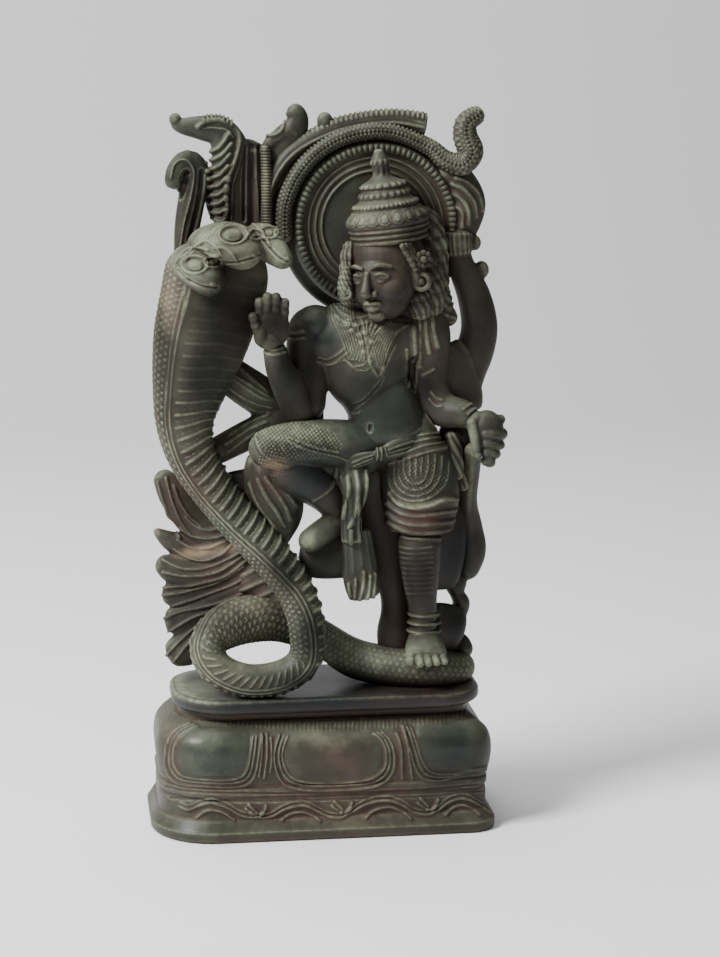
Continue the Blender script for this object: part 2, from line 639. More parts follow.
cobra_heads = []
for side, stations in HEADS.items():
    cobra_heads.append(roll("cobra_head_" + side, stations, sides=40, step=0.6, faces=UPWARD, tip=0.9))
cobra_heads = fuse("cobra_heads", cobra_heads, 0.32, 4)
draw_all(cobra_heads, HEAD_SCALES, 0.8, 0.3)
draw_all(cobra_heads, SNOUT_LINES, 1.1, -0.7)
draw_all(cobra_heads, BROW_LINES, 1.3, 0.6)
for x, y, radius in [*EYES.values(), *FAR_EYES.values()]:
    pupil = [(x - radius * 0.35, y), (x + radius * 0.35, y)]
    draw_all(cobra_heads, [pupil], radius * 0.42, 0.06 * radius, pitch=0.5)
    draw_all(cobra_heads, [ring_line(x, y, radius)], 0.9, -0.04 * radius)
    draw_all(cobra_heads, [ring_line(x, y, radius + 3.4)], 1.0, 0.6)
for x, y in NOSTRILS:
    draw_all(cobra_heads, [[(x - 1.5, y), (x + 1.5, y)]], 1.6, 0.5, pitch=0.5)
print("cobra head faces", len(cobra_heads.data.polygons))

# %% [markdown]
# ## Figure: body and arms
# The figure stands on the left leg and rests the other foot on the cobra. The body is a set of full,
# smooth forms: a barrel chest on a narrow waist, round shoulders and tapering arms. Rolls and balls
# are pushed into each other and then grown together into one skin with a voxel remesh, which is how
# separate lumps of clay become one body. Hands are made the same way at a finer size.

# %% Chest, arms and neck in one skin
BELLY = [
    (21, -3, 112, 12, 8.5), (21, -4, 121, 13.2, 9), (20.8, -5, 127, 12.2, 8.8),
    (20.4, -5, 131.4, 11.4, 8.2), (19.6, -4.4, 136, 10.2, 7.4), (18.4, -4, 142, 9, 6.6),
]
CHEST = [
    (18, -4, 128, 8.4, 6.8), (16.6, -4, 133.6, 9.4, 7.4), (15.2, -4, 139, 12.4, 7.8),
    (14.2, -4, 145, 14.2, 8.4), (13.6, -4, 152, 16.4, 8.8), (13.6, -3, 158.4, 16.6, 7.4),
    (13.8, -2.6, 161.8, 14.6, 5.6),
]
FIGURE_NECK = [(19, -2.6, 156, 8.6, 6.2), (19.6, -2.4, 163, 7.4, 6), (20.2, -2.4, 172, 6.6, 6)]
RIGHT_UPPER_ARM = [(0.4, -3, 160.2, 6, 5.4), (-2.4, -3, 156, 6.8, 6.2), (-3.4, -4, 147, 6.6, 5.6),
                   (-3.8, -5.4, 138, 6.2, 5.4), (-4.2, -6.6, 127.6, 5.6, 5.2)]
RIGHT_FOREARM = [(-4.8, -6.6, 127.4, 4.8, 4.8), (-9, -10, 137, 5.2, 4.8), (-12.8, -12.4, 145, 4.3, 4),
                 (-15, -14.2, 153.6, 3.3, 3)]
LEFT_ARM = [(30.4, -2, 159.6, 6, 5.4), (33.6, -2, 155, 7, 6.6), (34.2, -2, 145, 6.7, 5.8),
            (33.8, -2.8, 137, 6.7, 5.6), (37.8, -5.4, 130.6, 5.7, 5.2), (43.6, -9.6, 129.4, 4.4, 4.4),
            (47.6, -12, 127.2, 3.6, 3.6)]
CHEST_BALLS = [((6.2, -7, 151.6), (9.6, 4.2, 7)), ((22.6, -6.8, 152), (8.6, 4.2, 6.8)),
               ((20.4, -8.4, 123.8), (9.6, 5.8, 7.2)), ((33.4, -2.4, 156.2), (6.8, 6.2, 6)),
               ((-1, -3.4, 157.2), (6.6, 6.2, 5.8)), ((8, -3, 158), (9.6, 5.8, 5.3)),
               ((27.4, -1.6, 160.6), (8, 5.2, 4.6)), ((25, 1, 166), (6.6, 5, 8))]

lumps = [
    roll("belly", BELLY, 48, 1.0),
    roll("chest", CHEST, 48, 1.0, tip=0.5),
    roll("neck", FIGURE_NECK, 32, 1.0),
    roll("right_upper_arm", RIGHT_UPPER_ARM, 32, 1.0),
    roll("right_forearm", RIGHT_FOREARM, 32, 1.0),
    roll("left_arm", LEFT_ARM, 32, 1.0),
]
lumps += [ball("chest_ball", middle, half) for middle, half in CHEST_BALLS]
upper_body = fuse("upper_body", lumps, 0.42, 12)
print("upper body faces", len(upper_body.data.polygons))

# %% [markdown]
# ### Raised hand and lowered hand
# The right palm faces the viewer with its fingers together and the thumb apart. The left hand hangs
# in front of the strap with the back of the hand to the viewer. Each finger is a thin roll with a
# little more width at its joints.

# %% Hands
PALM = (-15.4, -15, 157.6)
RAISED_FINGERS = [(-3.7, 8.4, 1.4), (-1.2, 10.0, 1.5), (1.4, 9.8, 1.5), (4.0, 8.2, 1.4)]
LEFT_HAND = (50.2, -12.6, 124)
THUMB = [(45.2, -14.4, 129, 1.7, 1.7), (46.4, -16.2, 123, 1.7, 1.6), (47.2, -16.6, 117.2, 1.4, 1.4)]
THUMB_NAIL = (47.2, -17.4, 117.8)
CURLED_FINGERS = [(123.6, 55.4), (120.6, 55.2), (117.8, 54), (115.2, 52)]
KNUCKLES = [((54.8, -12, 127.8), 1.7), ((55.4, -12, 123.4), 1.9)]


def finger(name, root, tip, size):
    """A finger with two soft joints."""
    root, tip = np.array(root, float), np.array(tip, float)
    shares = (0, 0.3, 0.42, 0.62, 0.72, 1)
    swell = (1.1, 0.95, 1.1, 0.92, 1.05, 0.9)
    rows = [(*(root + (tip - root) * share), size * fat, size * fat) for share, fat in zip(shares, swell)]
    return roll(name, rows, 16, 0.4)


px, py, pz = PALM
lumps = [
    ball("palm", PALM, (5.5, 2.5, 6.4)),
    ball("heel_of_hand", (px - 1, py - 0.8, pz - 3.6), (3.8, 2.4, 2.8)),
    ball("thumb_ball", (px - 3.4, py - 1.4, pz - 2), (2.2, 2, 3.4)),
]
for side, reach, size in RAISED_FINGERS:
    knuckle = (px + side * 0.92, py, pz + 1)
    fingertip = (px + side * 1.02, py - 0.4, pz + reach + 1)
    lumps.append(finger("finger", knuckle, fingertip, size))
lumps.append(finger("thumb", (px - 4, py - 1.4, pz - 2), (px - 6.2, py - 2, pz + 5.2), 1.45))
hx, hy, hz = LEFT_HAND
lumps += [
    ball("back_of_hand", (hx + 0.4, hy, hz), (5.4, 4.4, 7)),
    ball("wrist", (hx - 3, hy + 0.6, hz + 3.4), (3.6, 3.4, 3.4)),
    roll("thumb", THUMB, 16, 0.4),
    ball("thumb_nail", THUMB_NAIL, (1.2, 0.9, 1.4)),
]
for z, reach in CURLED_FINGERS:
    rows = [(hx - 2, hy - 3, z + 0.6, 1.5, 1.5), (hx + 1.4, hy - 3.6, z + 0.4, 1.6, 1.6),
            (reach - 1, hy - 2, z - 0.2, 1.5, 1.6), (reach, hy + 1.4, z - 0.6, 1.3, 1.5)]
    lumps.append(roll("curled_finger", rows, 18, 0.4))
lumps += [ball("knuckle", middle, (size, size, size)) for middle, size in KNUCKLES]
hands = fuse("hands", lumps, 0.3, 3)
print("hand faces", len(hands.data.polygons))

# %% [markdown]
# ### Necklaces, thread, shoulder tassels and armlets
# The jewellery on the chest is low relief. Broad necklaces hang from the neck, tassels run down
# from the left shoulder, a thread crosses to the waist, and a band follows the lower edge of
# the chest. They are drawn with the brush, in the order in which they lie over each other.

# %% Jewellery drawn on the chest and arms
NECKLACE = [
    [(336, 300), (343, 308), (355, 312), (368, 308), (376, 302)],
    [(333, 303), (341, 313), (355, 318), (370, 315), (384, 306)],
    [(331, 307), (339, 319), (353, 325), (371, 321), (391, 311)],
]
LEFT_STRANDS = (
    [(331, 304), (333, 320), (341, 336), (349, 359)], [(353, 304), (354, 320), (361, 338), (365, 361)],
    8,
)
MIDDLE_STRANDS = (
    [(362, 320), (364, 330), (366, 344), (368, 358)], [(382, 326), (374, 336), (369, 348), (368, 358)],
    5,
)
RIGHT_STRANDS = (
    [(388, 322), (379, 334), (372, 349), (369, 363)], [(408, 325), (396, 333), (388, 348), (382, 368)],
    7,
)
COLLAR_HEM = [
    [(345, 359), (352, 365), (362, 365), (369, 360)], [(370, 362), (374, 370), (379, 376), (384, 366)],
]
COLLAR_KNOTS = [
    (347, 326), (352, 331), (357, 326), (364, 333), (362, 343), (364, 352), (372, 342), (359, 335),
    (350, 320),
]
THREAD_LINES = [
    [(398, 342), (392, 352), (387, 364), (382, 377), (373, 388), (363, 399), (350, 405)],
    [(386, 374), (380, 386), (371, 397), (358, 408), (350, 412)],
    [(350, 410), (356, 414), (363, 410)],
]
CHEST_BAND = [
    [(319, 357), (328, 359), (338, 354), (345, 348)], [(320, 361), (330, 364), (340, 359), (347, 353)],
    [(317, 361), (325, 365), (334, 364), (345, 360), (352, 366), (360, 369), (367, 366), (372, 360)],
    [(352, 367), (358, 370), (366, 370), (371, 366)],
]
SHOULDER_TASSELS = [
    [(414, 316), (414, 338), (415, 360)], [(420, 316), (420, 340), (420, 366)],
    [(425, 315), (426, 334), (429, 352)], [(431, 315), (434, 332), (437, 346)]]
LONG_TASSELS = [[(412, 360), (411, 372), (409, 386)], [(417, 362), (417, 376), (416, 392)],
                [(407, 350), (406, 364), (406, 380)]]
ARM_BANDS = [
    [(287, 330), (295, 333), (303, 331)], [(287, 336), (295, 339), (304, 337)],
    [(423, 376), (428, 373), (434, 369)], [(262, 346), (273, 350), (284, 347)],
    [(262, 351), (273, 355), (285, 352)], [(464, 409), (472, 404), (482, 404)],
    [(468, 414), (475, 409), (486, 409)],
]
FLANK_LINES = [[(431, 392), (436, 398), (442, 400)], [(430, 400), (436, 406), (441, 406)]]
NAVEL = (370, 428)


def between(first, last, count):
    """Evenly spaced lines from the first to the last, which have as many points as each other."""
    first, last = np.array(first, float), np.array(last, float)
    return [(first + (last - first) * k / (count - 1)).tolist() for k in range(count)]


draw_all(upper_body, NECKLACE, 1.3, 0.4, furthest_y=0)
draw_all(upper_body, between(*LEFT_STRANDS), 1.25, 0.45, furthest_y=0)
draw_all(upper_body, between(*MIDDLE_STRANDS), 1.2, 0.45, furthest_y=0)
draw_all(upper_body, between(*RIGHT_STRANDS), 1.3, 0.5, furthest_y=0)
draw_all(upper_body, COLLAR_HEM, 1.6, 0.5, furthest_y=0)
draw_all(upper_body, [[(x - 1, y), (x + 1, y)] for x, y in COLLAR_KNOTS], 2.2, 0.5, furthest_y=0, pitch=1)
draw_all(upper_body, THREAD_LINES, 1.0, 0.42, furthest_y=0, fade=0.1)
draw_all(upper_body, CHEST_BAND, 1.1, 0.42, furthest_y=0)
draw_all(upper_body, SHOULDER_TASSELS, 3.0, 0.75, furthest_y=2)
draw_all(upper_body, LONG_TASSELS, 2.0, 0.5, furthest_y=2)
draw_all(upper_body, ARM_BANDS, 1.4, 0.5)
draw_all(upper_body, FLANK_LINES, 1.4, 0.4)
draw_all(upper_body, [[(NAVEL[0], NAVEL[1] - 2), (NAVEL[0], NAVEL[1] + 2)]], 1.8, -0.9, pitch=1)

# %% [markdown]
# ## Figure: legs and wrapped cloth
# A patterned wrap covers the thighs. On the standing leg it ends in a light hem and soft level
# folds above the calf. On the raised leg it is pulled tight over the knee and falls in a dark drape
# behind the calf. The legs and the wrap are one skin again, because the wrap clings.

# %% Legs, wrap and feet
THIGH = [(21, -4, 117.4, 8.6, 8.4), (10, -7, 120, 7.8, 8), (0, -10, 121.6, 7.2, 7.2),
         (-10, -13, 121.6, 6.9, 6.8), (-17, -14.4, 120, 6.6, 6.4), (-21, -15, 116.6, 5, 5)]
RAISED_CALF = [(-15, -13.4, 118, 6, 6), (-7.6, -11, 112, 6.6, 6.2), (0.6, -8.6, 105.6, 5.6, 5.4),
               (8.6, -5.4, 97, 4, 4)]
RAISED_FOOT = [(10.4, -5, 97.4, 3.8, 4), (5, -7.4, 96, 3.9, 4.6), (0, -9.4, 93.4, 4, 4.8),
               (-4.8, -11, 90.6, 3.5, 4.4), (-7, -11.4, 89.4, 2.6, 3.6)]
WRAP = [(29.6, -4, 121, 11.4, 8.6), (30.4, -5.4, 111, 12.4, 9.4), (31, -6.4, 103, 12.3, 9.6),
        (31, -6.8, 99.6, 11.6, 9.2), (30.9, -7.2, 95, 10.8, 8.6), (30.8, -7.4, 91.4, 10.2, 8.2)]
STANDING_CALF = [(30.8, -8, 95, 7.4, 7.2), (30.8, -8.5, 85, 6.6, 6.8), (31, -9, 76, 5.4, 5.8),
                 (31.8, -9, 68, 4.2, 4.6), (32, -9, 60, 4.2, 4.8), (32, -8.6, 56, 4.8, 5.6)]
STANDING_FOOT = [(32, -3, 57, 4.4, 4.4), (32, -9, 58.4, 5, 5), (31.6, -13.6, 57.6, 6, 4),
                 (31.4, -17.6, 56.2, 6.6, 2.6), (31.4, -19.4, 55.4, 6.4, 1.8)]
TOES = [(-5.0, 0.2, 1.7), (-2.2, -0.6, 1.35), (0.3, -0.4, 1.3), (2.8, 0, 1.25), (5.2, 0.7, 1.2)]
CLOTH_PEAK = [(31, -8, 116, 9.5, 5), (31.4, -7.4, 124, 5, 3.6), (31.6, -6.6, 130, 1.4, 2)]

lumps = [
    roll("thigh", THIGH, 40, 1.0), roll("raised_calf", RAISED_CALF, 32, 1.0),
    roll("raised_foot", RAISED_FOOT, 28, 0.8), roll("wrap", WRAP, 56, 1.0, tip=0.35),
    roll("standing_calf", STANDING_CALF, 36, 1.0), roll("cloth_peak", CLOTH_PEAK, 28, 0.8),
]
lower_body = fuse("lower_body", lumps, 0.42, 8)

lumps = [roll("standing_foot", STANDING_FOOT, 32, 0.8, faces=UPWARD)]
for side, back, size in TOES:
    toe_root = (31.4 + side * 0.9, -15.6, 57)
    toe_tip = (31.3 + side * 1.08, -21.6 + back, 53.4)
    lumps.append(finger("toe", toe_root, toe_tip, size))
for ring in range(3):
    lumps.append(ball("anklet", (32, -9, 61.6 + 2.6 * ring), (5.6 - 0.2 * ring, 5.8 - 0.2 * ring, 1.35)))
feet = fuse("standing_foot", lumps, 0.3, 2)
print("lower body faces", len(lower_body.data.polygons), "foot faces", len(feet.data.polygons))

# %% [markdown]
# ### Pattern, hems and folds of the wrap
# The stretched cloth carries a small worked pattern, which is drawn as a field of short dots inside
# an oval. The hems are raised lines and the folds are rows of wide shallow ones.

# %% A field of dots inside an oval, and the lines of the wrap
def stipple(piece, middle, half, tilt, pitch, height, furthest_y=None):
    """Raises small diagonal dots inside an oval seen at middle, with half sizes and pitch in pixels."""
    points = points_of(piece)
    normals = normals_of(piece)
    across, down, _ = seen_at(points)
    x, y = across - middle[0], down - middle[1]
    turned = math.radians(tilt)
    u = x * math.cos(turned) + y * math.sin(turned)
    v = -x * math.sin(turned) + y * math.cos(turned)
    inside = np.clip((1 - (u / half[0]) ** 2 - (v / half[1]) ** 2) * 4, 0, 1)
    facing = np.clip((normals @ CAMERA_BACK - 0.05) / 0.3, 0, 1)
    if furthest_y is not None:
        facing = facing * (points[:, 1] < furthest_y)
    dots = np.cos(TURN * u / pitch[0]) * np.cos(TURN * v / pitch[1])
    put_points(piece, points + normals * (dots * inside * facing * height)[:, None])
    return piece


THIGH_FIELD = ((296, 440), (48, 20), 8)
KNEE_FIELD = ((272, 462), (16, 14), 60)
WRAP_FIELD = ((418, 477), (34, 20), 12)
DOT_PITCH = (4.3, 4.8)
THIGH_HEMS = [
    [(288, 441), (300, 447), (316, 452), (336, 456), (352, 462)],
    [(289, 438), (302, 443), (318, 448), (338, 452)],
    [(262, 425), (256, 436), (262, 452), (276, 462), (288, 466)],
]
HIP_LINES = [
    [(384, 449), (400, 441), (420, 435), (444, 432)], [(386, 454), (402, 447), (422, 440), (445, 436)],
    [(387, 459), (404, 453), (424, 446), (446, 442)], [(388, 464), (406, 459), (428, 452), (447, 448)],
]
PEAK_LINES = [[(396, 440), (408, 428), (419, 414)], [(440, 434), (432, 424), (424, 412)]]
WRAP_CURVES = [
    [(404, 457), (404, 472), (408, 481), (416, 484), (424, 480), (428, 468), (428, 455)],
    [(399, 460), (399, 476), (405, 487), (416, 490), (428, 485), (434, 472), (435, 454)],
    [(394, 464), (395, 482), (403, 492), (416, 496), (431, 490), (440, 476), (442, 456)],
    [(410, 458), (410, 475)], [(416, 458), (416, 477)], [(422, 457), (421, 473)],
    [(388, 474), (391, 488), (401, 498), (416, 501), (433, 496), (446, 482), (449, 462)],
]
CALF_HEM = [[(334, 474), (333, 485), (326, 493), (314, 500)]]
HEM_LIGHT = [[(390, 493), (398, 503), (412, 508), (428, 506), (444, 500), (456, 499)]]
FOLD_LINES = [
    [(387, 503), (398, 512), (414, 516), (434, 514), (456, 510)],
    [(386, 512), (398, 521), (414, 525), (434, 524), (456, 520)],
    [(388, 522), (400, 529), (416, 533), (436, 532), (454, 529)],
    [(392, 531), (404, 537), (418, 539), (436, 539), (450, 537)],
]
CALF_CREASES = [[(396, y), (412, y + 3), (432, y + 1)] for y in range(546, 596, 5)]

stipple(lower_body, *THIGH_FIELD, DOT_PITCH, 0.28, furthest_y=0)
stipple(lower_body, *KNEE_FIELD, DOT_PITCH, 0.25, furthest_y=0)
stipple(lower_body, *WRAP_FIELD, DOT_PITCH, 0.14, furthest_y=0)
draw_all(lower_body, THIGH_HEMS, 1.3, 0.5, furthest_y=0)
draw_all(lower_body, HIP_LINES, 1.1, 0.5, furthest_y=2)
draw_all(lower_body, PEAK_LINES, 1.1, 0.4)
draw_all(lower_body, WRAP_CURVES, 1.0, 0.28)
draw_all(lower_body, CALF_HEM, 1.6, 0.9)
draw_all(lower_body, HEM_LIGHT, 2.2, 1.1)
draw_all(lower_body, FOLD_LINES, 2.2, 0.7)
draw_all(lower_body, CALF_CREASES, 1.3, 0.2)

# %% [markdown]
# ### Hanging cloth, knot and tassels
# A pleated end hangs between the legs and flares at the bottom. Brown drapery fills the space under
# the raised knee. The belt's folds meet in a knot with a short flap, and two tassels hang at the
# hip. Pleats run along the cloth, so they come from the angle round the roll.

# %% Pleated sash, drape, knot and tassels
SASH = [(9.8, -10.4, 117, 5.4, 3), (10, -11.8, 110, 4.2, 3), (9.3, -12.4, 103, 3.1, 2.8),
        (8.5, -12.8, 97, 2.8, 2.8), (8.6, -13.2, 90.5, 2.9, 2.6)]
SASH_END = [(10.6, -11.4, 95, 4.2, 2.6), (11.4, -12, 86, 5.2, 3), (12, -12.2, 79, 5.5, 3),
            (13.2, -12.2, 72.6, 4.6, 2.6)]
BELT_CLOTH = [(9, -8, 117, 7, 4), (5.4, -8, 109, 4.6, 3), (4.6, -7, 101, 2.8, 2.2)]
DRAPE = [(-14, -9, 119, 8, 5.6), (-15, -7.6, 109.4, 9, 5), (-13.6, -6.8, 101, 8.4, 4.4),
         (-15, -6.6, 94, 6.6, 4), (-17, -6.6, 87, 4, 3.4)]
SASH_EDGE = [[(365, 470), (366, 481), (364, 496), (360, 508), (358.6, 520), (358.6, 531), (359.4, 547)]]
SASH_FOLDS = [[(356, 472), (358, 485), (357, 504), (354, 518), (349, 528)],
              [(348, 477), (349, 490), (346, 507), (344, 518)], [(339, 477), (340, 493)],
              [(351, 530), (351, 545)]]
END_FOLDS = [[(364, 572), (363, 586), (360, 599)], [(370, 576), (369, 590), (367, 601)],
             [(356, 580), (355, 597)], [(375, 574), (374, 588), (373, 599)], [(349, 584), (351, 596)]]
DRAPE_LINES = [
    [(258, 480), (266, 496), (276, 511), (284, 526)], [(266, 478), (276, 492), (286, 508), (290, 520)],
    [(250, 484), (256, 500), (266, 516), (274, 528)], [(278, 482), (288, 494), (296, 506)],
]
HIP_TASSELS = [[(40.8, -7, 124, 1.6, 1.8), (41.6, -7, 116, 2.4, 2.4), (42.2, -6, 108, 2, 2)],
               [(43.6, -4, 123, 1.4, 1.8), (45, -3.4, 113, 2.2, 2.4), (45.4, -3, 104, 1.8, 2)]]
KNOT = (17.2, -15.2, 118.6)
BELT_BANDS = [
    [
        (17.6, -14.6, 118.2, 1.1, 0.9), (22, -13.2, 119, 1.2, 1), (28, -10.6, 120.2, 1.3, 1),
        (35, -7, 121.4, 1.2, 1),
    ],
    [
        (17.6, -14.6, 118.8, 1.1, 0.9), (22, -13.2, 120.6, 1.2, 1), (28, -10.6, 122.4, 1.3, 1),
        (35, -7, 123.8, 1.2, 1),
    ],
    [
        (17.6, -14.6, 119.2, 1, 0.9), (22, -13.4, 121.8, 1.1, 1), (28, -11, 124.4, 1.2, 1),
        (35, -7.4, 126.2, 1.1, 1),
    ],
]
KNOT_FLAP = [
    (16.4, -15, 118.4, 1.3, 0.9), (13, -15, 117.4, 2, 1), (9.4, -14.4, 116.4, 2.3, 1),
    (7, -13.2, 115.6, 1.6, 0.8),
]
KNOT_LINES = [
    [(377, 448), (378, 454), (377, 460)], [(381, 447), (382, 453), (381, 460)],
    [(385, 449), (386, 455)],
]
BELT_LINES = [[(388, 450), (400, 445), (416, 440), (430, 436)], [(388, 453), (402, 449), (418, 445)],
              [(387, 456), (400, 453), (412, 450)]]
FLAP_LINES = [[(374, 455), (362, 459), (352, 463)], [(373, 458), (363, 462), (354, 466)]]


def pleats(count, depth, lean=0.0):
    """Sharp-edged pleats that run along a roll and lean a little as they go down."""
    def relief(along, angle, station, radius):
        share = (count * (angle + lean * along) / TURN) % 1
        return depth * (np.abs(2 * share - 1) ** 0.7 - 0.5)
    return relief


def twisted(count, depth, pitch):
    """Strands twisted round each other like a cord."""
    def relief(along, angle, station, radius):
        return depth * np.abs(np.cos(count * angle / 2 + math.pi * along / pitch))
    return relief


sash = roll("pleated_sash", SASH, 96, 0.4, relief=pleats(9, 0.35, 0.03), tip=0.5)
sash_end = roll("sash_end", SASH_END, 96, 0.4, relief=pleats(12, 0.2, 0.002), tip=0.5)
draw_all(sash, SASH_FOLDS, 2.2, 0.9)
draw_all(sash, SASH_EDGE, 1.6, 1.1)
draw_all(sash_end, END_FOLDS, 1.8, 0.8)
belt_cloth = roll("belt_cloth", BELT_CLOTH, 56, 0.5, relief=pleats(12, 0.7, 0.02))
drape = roll("knee_drape", DRAPE, 96, 0.5, relief=pleats(9, 0.5, 0.03), tip=0.7)
draw_all(drape, DRAPE_LINES, 2.4, 0.7)
knot_lumps = [ball("knot", KNOT, (1.9, 1.3, 2.1)), roll("flap", KNOT_FLAP, 32, 0.4, tip=0.4)]
knot_lumps += [roll("belt", rows, 24, 0.4, tip=0.4) for rows in BELT_BANDS]
knot = fuse("hip_knot", knot_lumps, 0.3, 2)
draw_all(knot, KNOT_LINES, 0.9, 0.5)
draw_all(knot, FLAP_LINES, 0.9, 0.4)
draw_all(knot, BELT_LINES, 1.0, 0.5)
cord = twisted(6, 0.5, 5)
tassels = gather("hip_tassels", [roll("tassel", rows, 40, 0.4, relief=cord) for rows in HIP_TASSELS])
cloth = gather("hanging_cloth", [sash, sash_end, belt_cloth, drape, knot, tassels])
print("hanging cloth faces", len(cloth.data.polygons))

# %% [markdown]
# ## Head and crown
# The head turns a little to the left and leans with the crown. Its face is a calm, general one, laid
# out by the old workshop rule: the brow, the foot of the nose and the chin divide it into equal
# parts. It is built round its own middle, straight ahead, because symmetry is easy there, and then
# it is turned into place. The hair, crown and earrings are built and turned with it.

# %% A face on plain proportions
HEAD_MIDDLE = np.array([20.7, -5, 172.8])
HEAD_SIZE = 1.2
HEAD_YAW = math.radians(-38)
HEAD_LEAN = math.radians(-8)
FACE_BALLS = [
    ((0, 1.6, 3), (9.4, 9.8, 10.6)), ((0, -2.0, -1.6), (8.4, 7.8, 9.4)), ((0, -2.6, -6.6), (6.4, 6.4, 5)),
    ((0, -7.6, -9.6), (2.4, 1.8, 1.7)),
]
FACE_PAIRS = [
    ((1.35, -9.9, -3.9), (1.0, 1.0, 0.8)), ((3.6, -4.9, -3.4), (4.3, 4.2, 4.4)),
    ((3.3, -8.1, 0.1), (2.2, 1.4, 1.2)), ((9.0, 0.4, -1.4), (1.7, 2.4, 3.8)),
]
NOSE = [(0, -9.2, 2.0, 0.9, 0.9), (0, -10.2, -0.6, 0.95, 1.1), (0, -11.6, -3.2, 1.3, 1.25),
        (0, -10.9, -4.4, 1.2, 0.8)]
UPPER_LIP = [(-2.6, -8.8, -6.7, 0.4, 0.4), (-1.1, -9.7, -6.2, 0.62, 0.6), (0, -9.8, -6.4, 0.5, 0.55),
             (1.1, -9.7, -6.2, 0.62, 0.6), (2.6, -8.8, -6.7, 0.4, 0.4)]
LOWER_LIP = [(-2.0, -8.8, -7.3, 0.4, 0.4), (0, -9.6, -7.8, 0.75, 0.7), (2.0, -8.8, -7.3, 0.4, 0.4)]
PAIRED_LINES = {
    "brow": [(0.9, -9.4, 2.3, 0.45, 0.5), (3.4, -9.2, 3.2, 0.6, 0.6), (6.4, -7.0, 2.3, 0.4, 0.4)],
    "upper_lid": [(1.2, -8.9, -0.1, 0.3, 0.3), (3.3, -9.5, 1.1, 0.42, 0.45), (5.5, -8.0, 0.2, 0.3, 0.3)],
    "lower_lid": [
        (1.4, -8.9, -0.5, 0.25, 0.25), (3.3, -9.3, -1.0, 0.32, 0.35), (5.3, -8.0, -0.3, 0.25, 0.25),
    ],
}


def mirrored(rows):
    """The same rows on the other side of the middle."""
    return [(-x, *rest) for x, *rest in rows]


def place_head(piece, middle=HEAD_MIDDLE, size=HEAD_SIZE):
    """Turns and leans a piece built round the head's own middle, and moves it into place."""
    points = points_of(piece)
    lean = np.array([[math.cos(HEAD_LEAN), 0, math.sin(HEAD_LEAN)], [0, 1, 0],
                     [-math.sin(HEAD_LEAN), 0, math.cos(HEAD_LEAN)]])
    yaw = np.array([[math.cos(HEAD_YAW), -math.sin(HEAD_YAW), 0],
                    [math.sin(HEAD_YAW), math.cos(HEAD_YAW), 0], [0, 0, 1]])
    put_points(piece, size * points @ yaw.T @ lean.T + middle)
    return piece


lumps = [ball("face_ball", middle, half) for middle, half in FACE_BALLS]
for (x, y, z), half in FACE_PAIRS:
    lumps += [ball("face_ball", (side * x, y, z), half) for side in (-1, 1)]
lumps.append(roll("nose", NOSE, 20, 0.4))
lumps += [roll(name, rows, 16, 0.3) for name, rows in (("upper_lip", UPPER_LIP), ("lower_lip", LOWER_LIP))]
for name, rows in PAIRED_LINES.items():
    lumps += [roll(name, rows, 12, 0.3), roll(name, mirrored(rows), 12, 0.3)]
head = place_head(fuse("head", lumps, 0.25, 3))
print("head faces", len(head.data.polygons))

# %% [markdown]
# ### Hair, earrings and ear flower
# Curled locks fall behind the left ear on to the shoulder, and finer ones hang by the other cheek. A
# lock is a roll whose surface bulges at even steps, with strands wound round it. A large flower sits
# over the near ear and a ring hangs below it.

# %% Locks, rings and the flower
LOCKS = [
    [
        (29.6, 1.6, 191, 2.6, 3), (32.8, 1.2, 187.4, 4.6, 4.2), (35, 0.6, 181, 4.8, 4.8),
        (35.6, 0, 175, 4.6, 4.6), (35.8, -0.4, 170, 4.4, 4.4), (36.4, -0.6, 164, 4.6, 4.2),
        (38.8, -0.8, 159.4, 4, 3.4), (43, -1, 156.8, 1.4, 2),
    ],
    [
        (31.6, -6, 177, 3.2, 3.2), (33.8, -6.4, 170, 3.5, 3.4), (34.6, -6, 164, 3.4, 3),
        (34, -5, 158.6, 2.2, 2.4),
    ],
    [(29.4, -8.4, 168, 3, 2.8), (30.6, -8.2, 163, 3.2, 2.8), (30.8, -7, 158.4, 2.4, 2.4)],
    [(11, -3, 182, 2.2, 2.6), (9, -5, 177, 2.2, 2.6), (8.2, -6.6, 172, 1.6, 2)],
    [(26, 2, 182, 8, 6), (27, 2, 172, 9, 6.4), (28, 1, 163, 7.6, 5)],
]
LOCK_STEP = 3.6
FLOWER = (30.6, -14.2, 177.4)
CHEEK_LOCK = [(8.0, -9.2, 175.4, 1.2, 1.2), (7.6, -9.7, 172.4, 1.7, 1.6), (7.4, -9.8, 169, 2.1, 1.8),
              (7.8, -9.4, 165.8, 1.9, 1.7), (8.4, -8.8, 163.2, 1.1, 1.2)]
CHEEK_RING = (7.6, -11.2, 167)
EARRING = (30.2, -13, 170.6)
EAR_DROP = (30.2, -13.2, 170.6)
TEMPLE_ROWS = (0, 1.2, 2.4)
FLOWER_PETALS = 8
FLOWER_RADIUS = 1.9


def curled(pitch, depth):
    """Bulges at even steps along a lock, with fine strands wound round it."""
    def relief(along, angle, station, radius):
        bulge = np.abs(np.sin(math.pi * along / pitch)) * depth
        strands = 0.55 * depth * np.cos(9 * angle + TURN * along / (pitch * 1.6))
        return bulge + strands
    return relief


lumps = [roll("lock", rows, 56, 0.4, relief=curled(LOCK_STEP, 0.4)) for rows in LOCKS]
for k in range(FLOWER_PETALS):
    swing = TURN * k / FLOWER_PETALS
    x = FLOWER[0] + FLOWER_RADIUS * math.cos(swing)
    z = FLOWER[2] + FLOWER_RADIUS * math.sin(swing)
    lumps.append(ball("petal", (x, FLOWER[1] + 0.5, z), (1.0, 0.9, 1.0)))
lumps.append(ball("flower_heart", FLOWER, (1.2, 1.3, 1.2)))


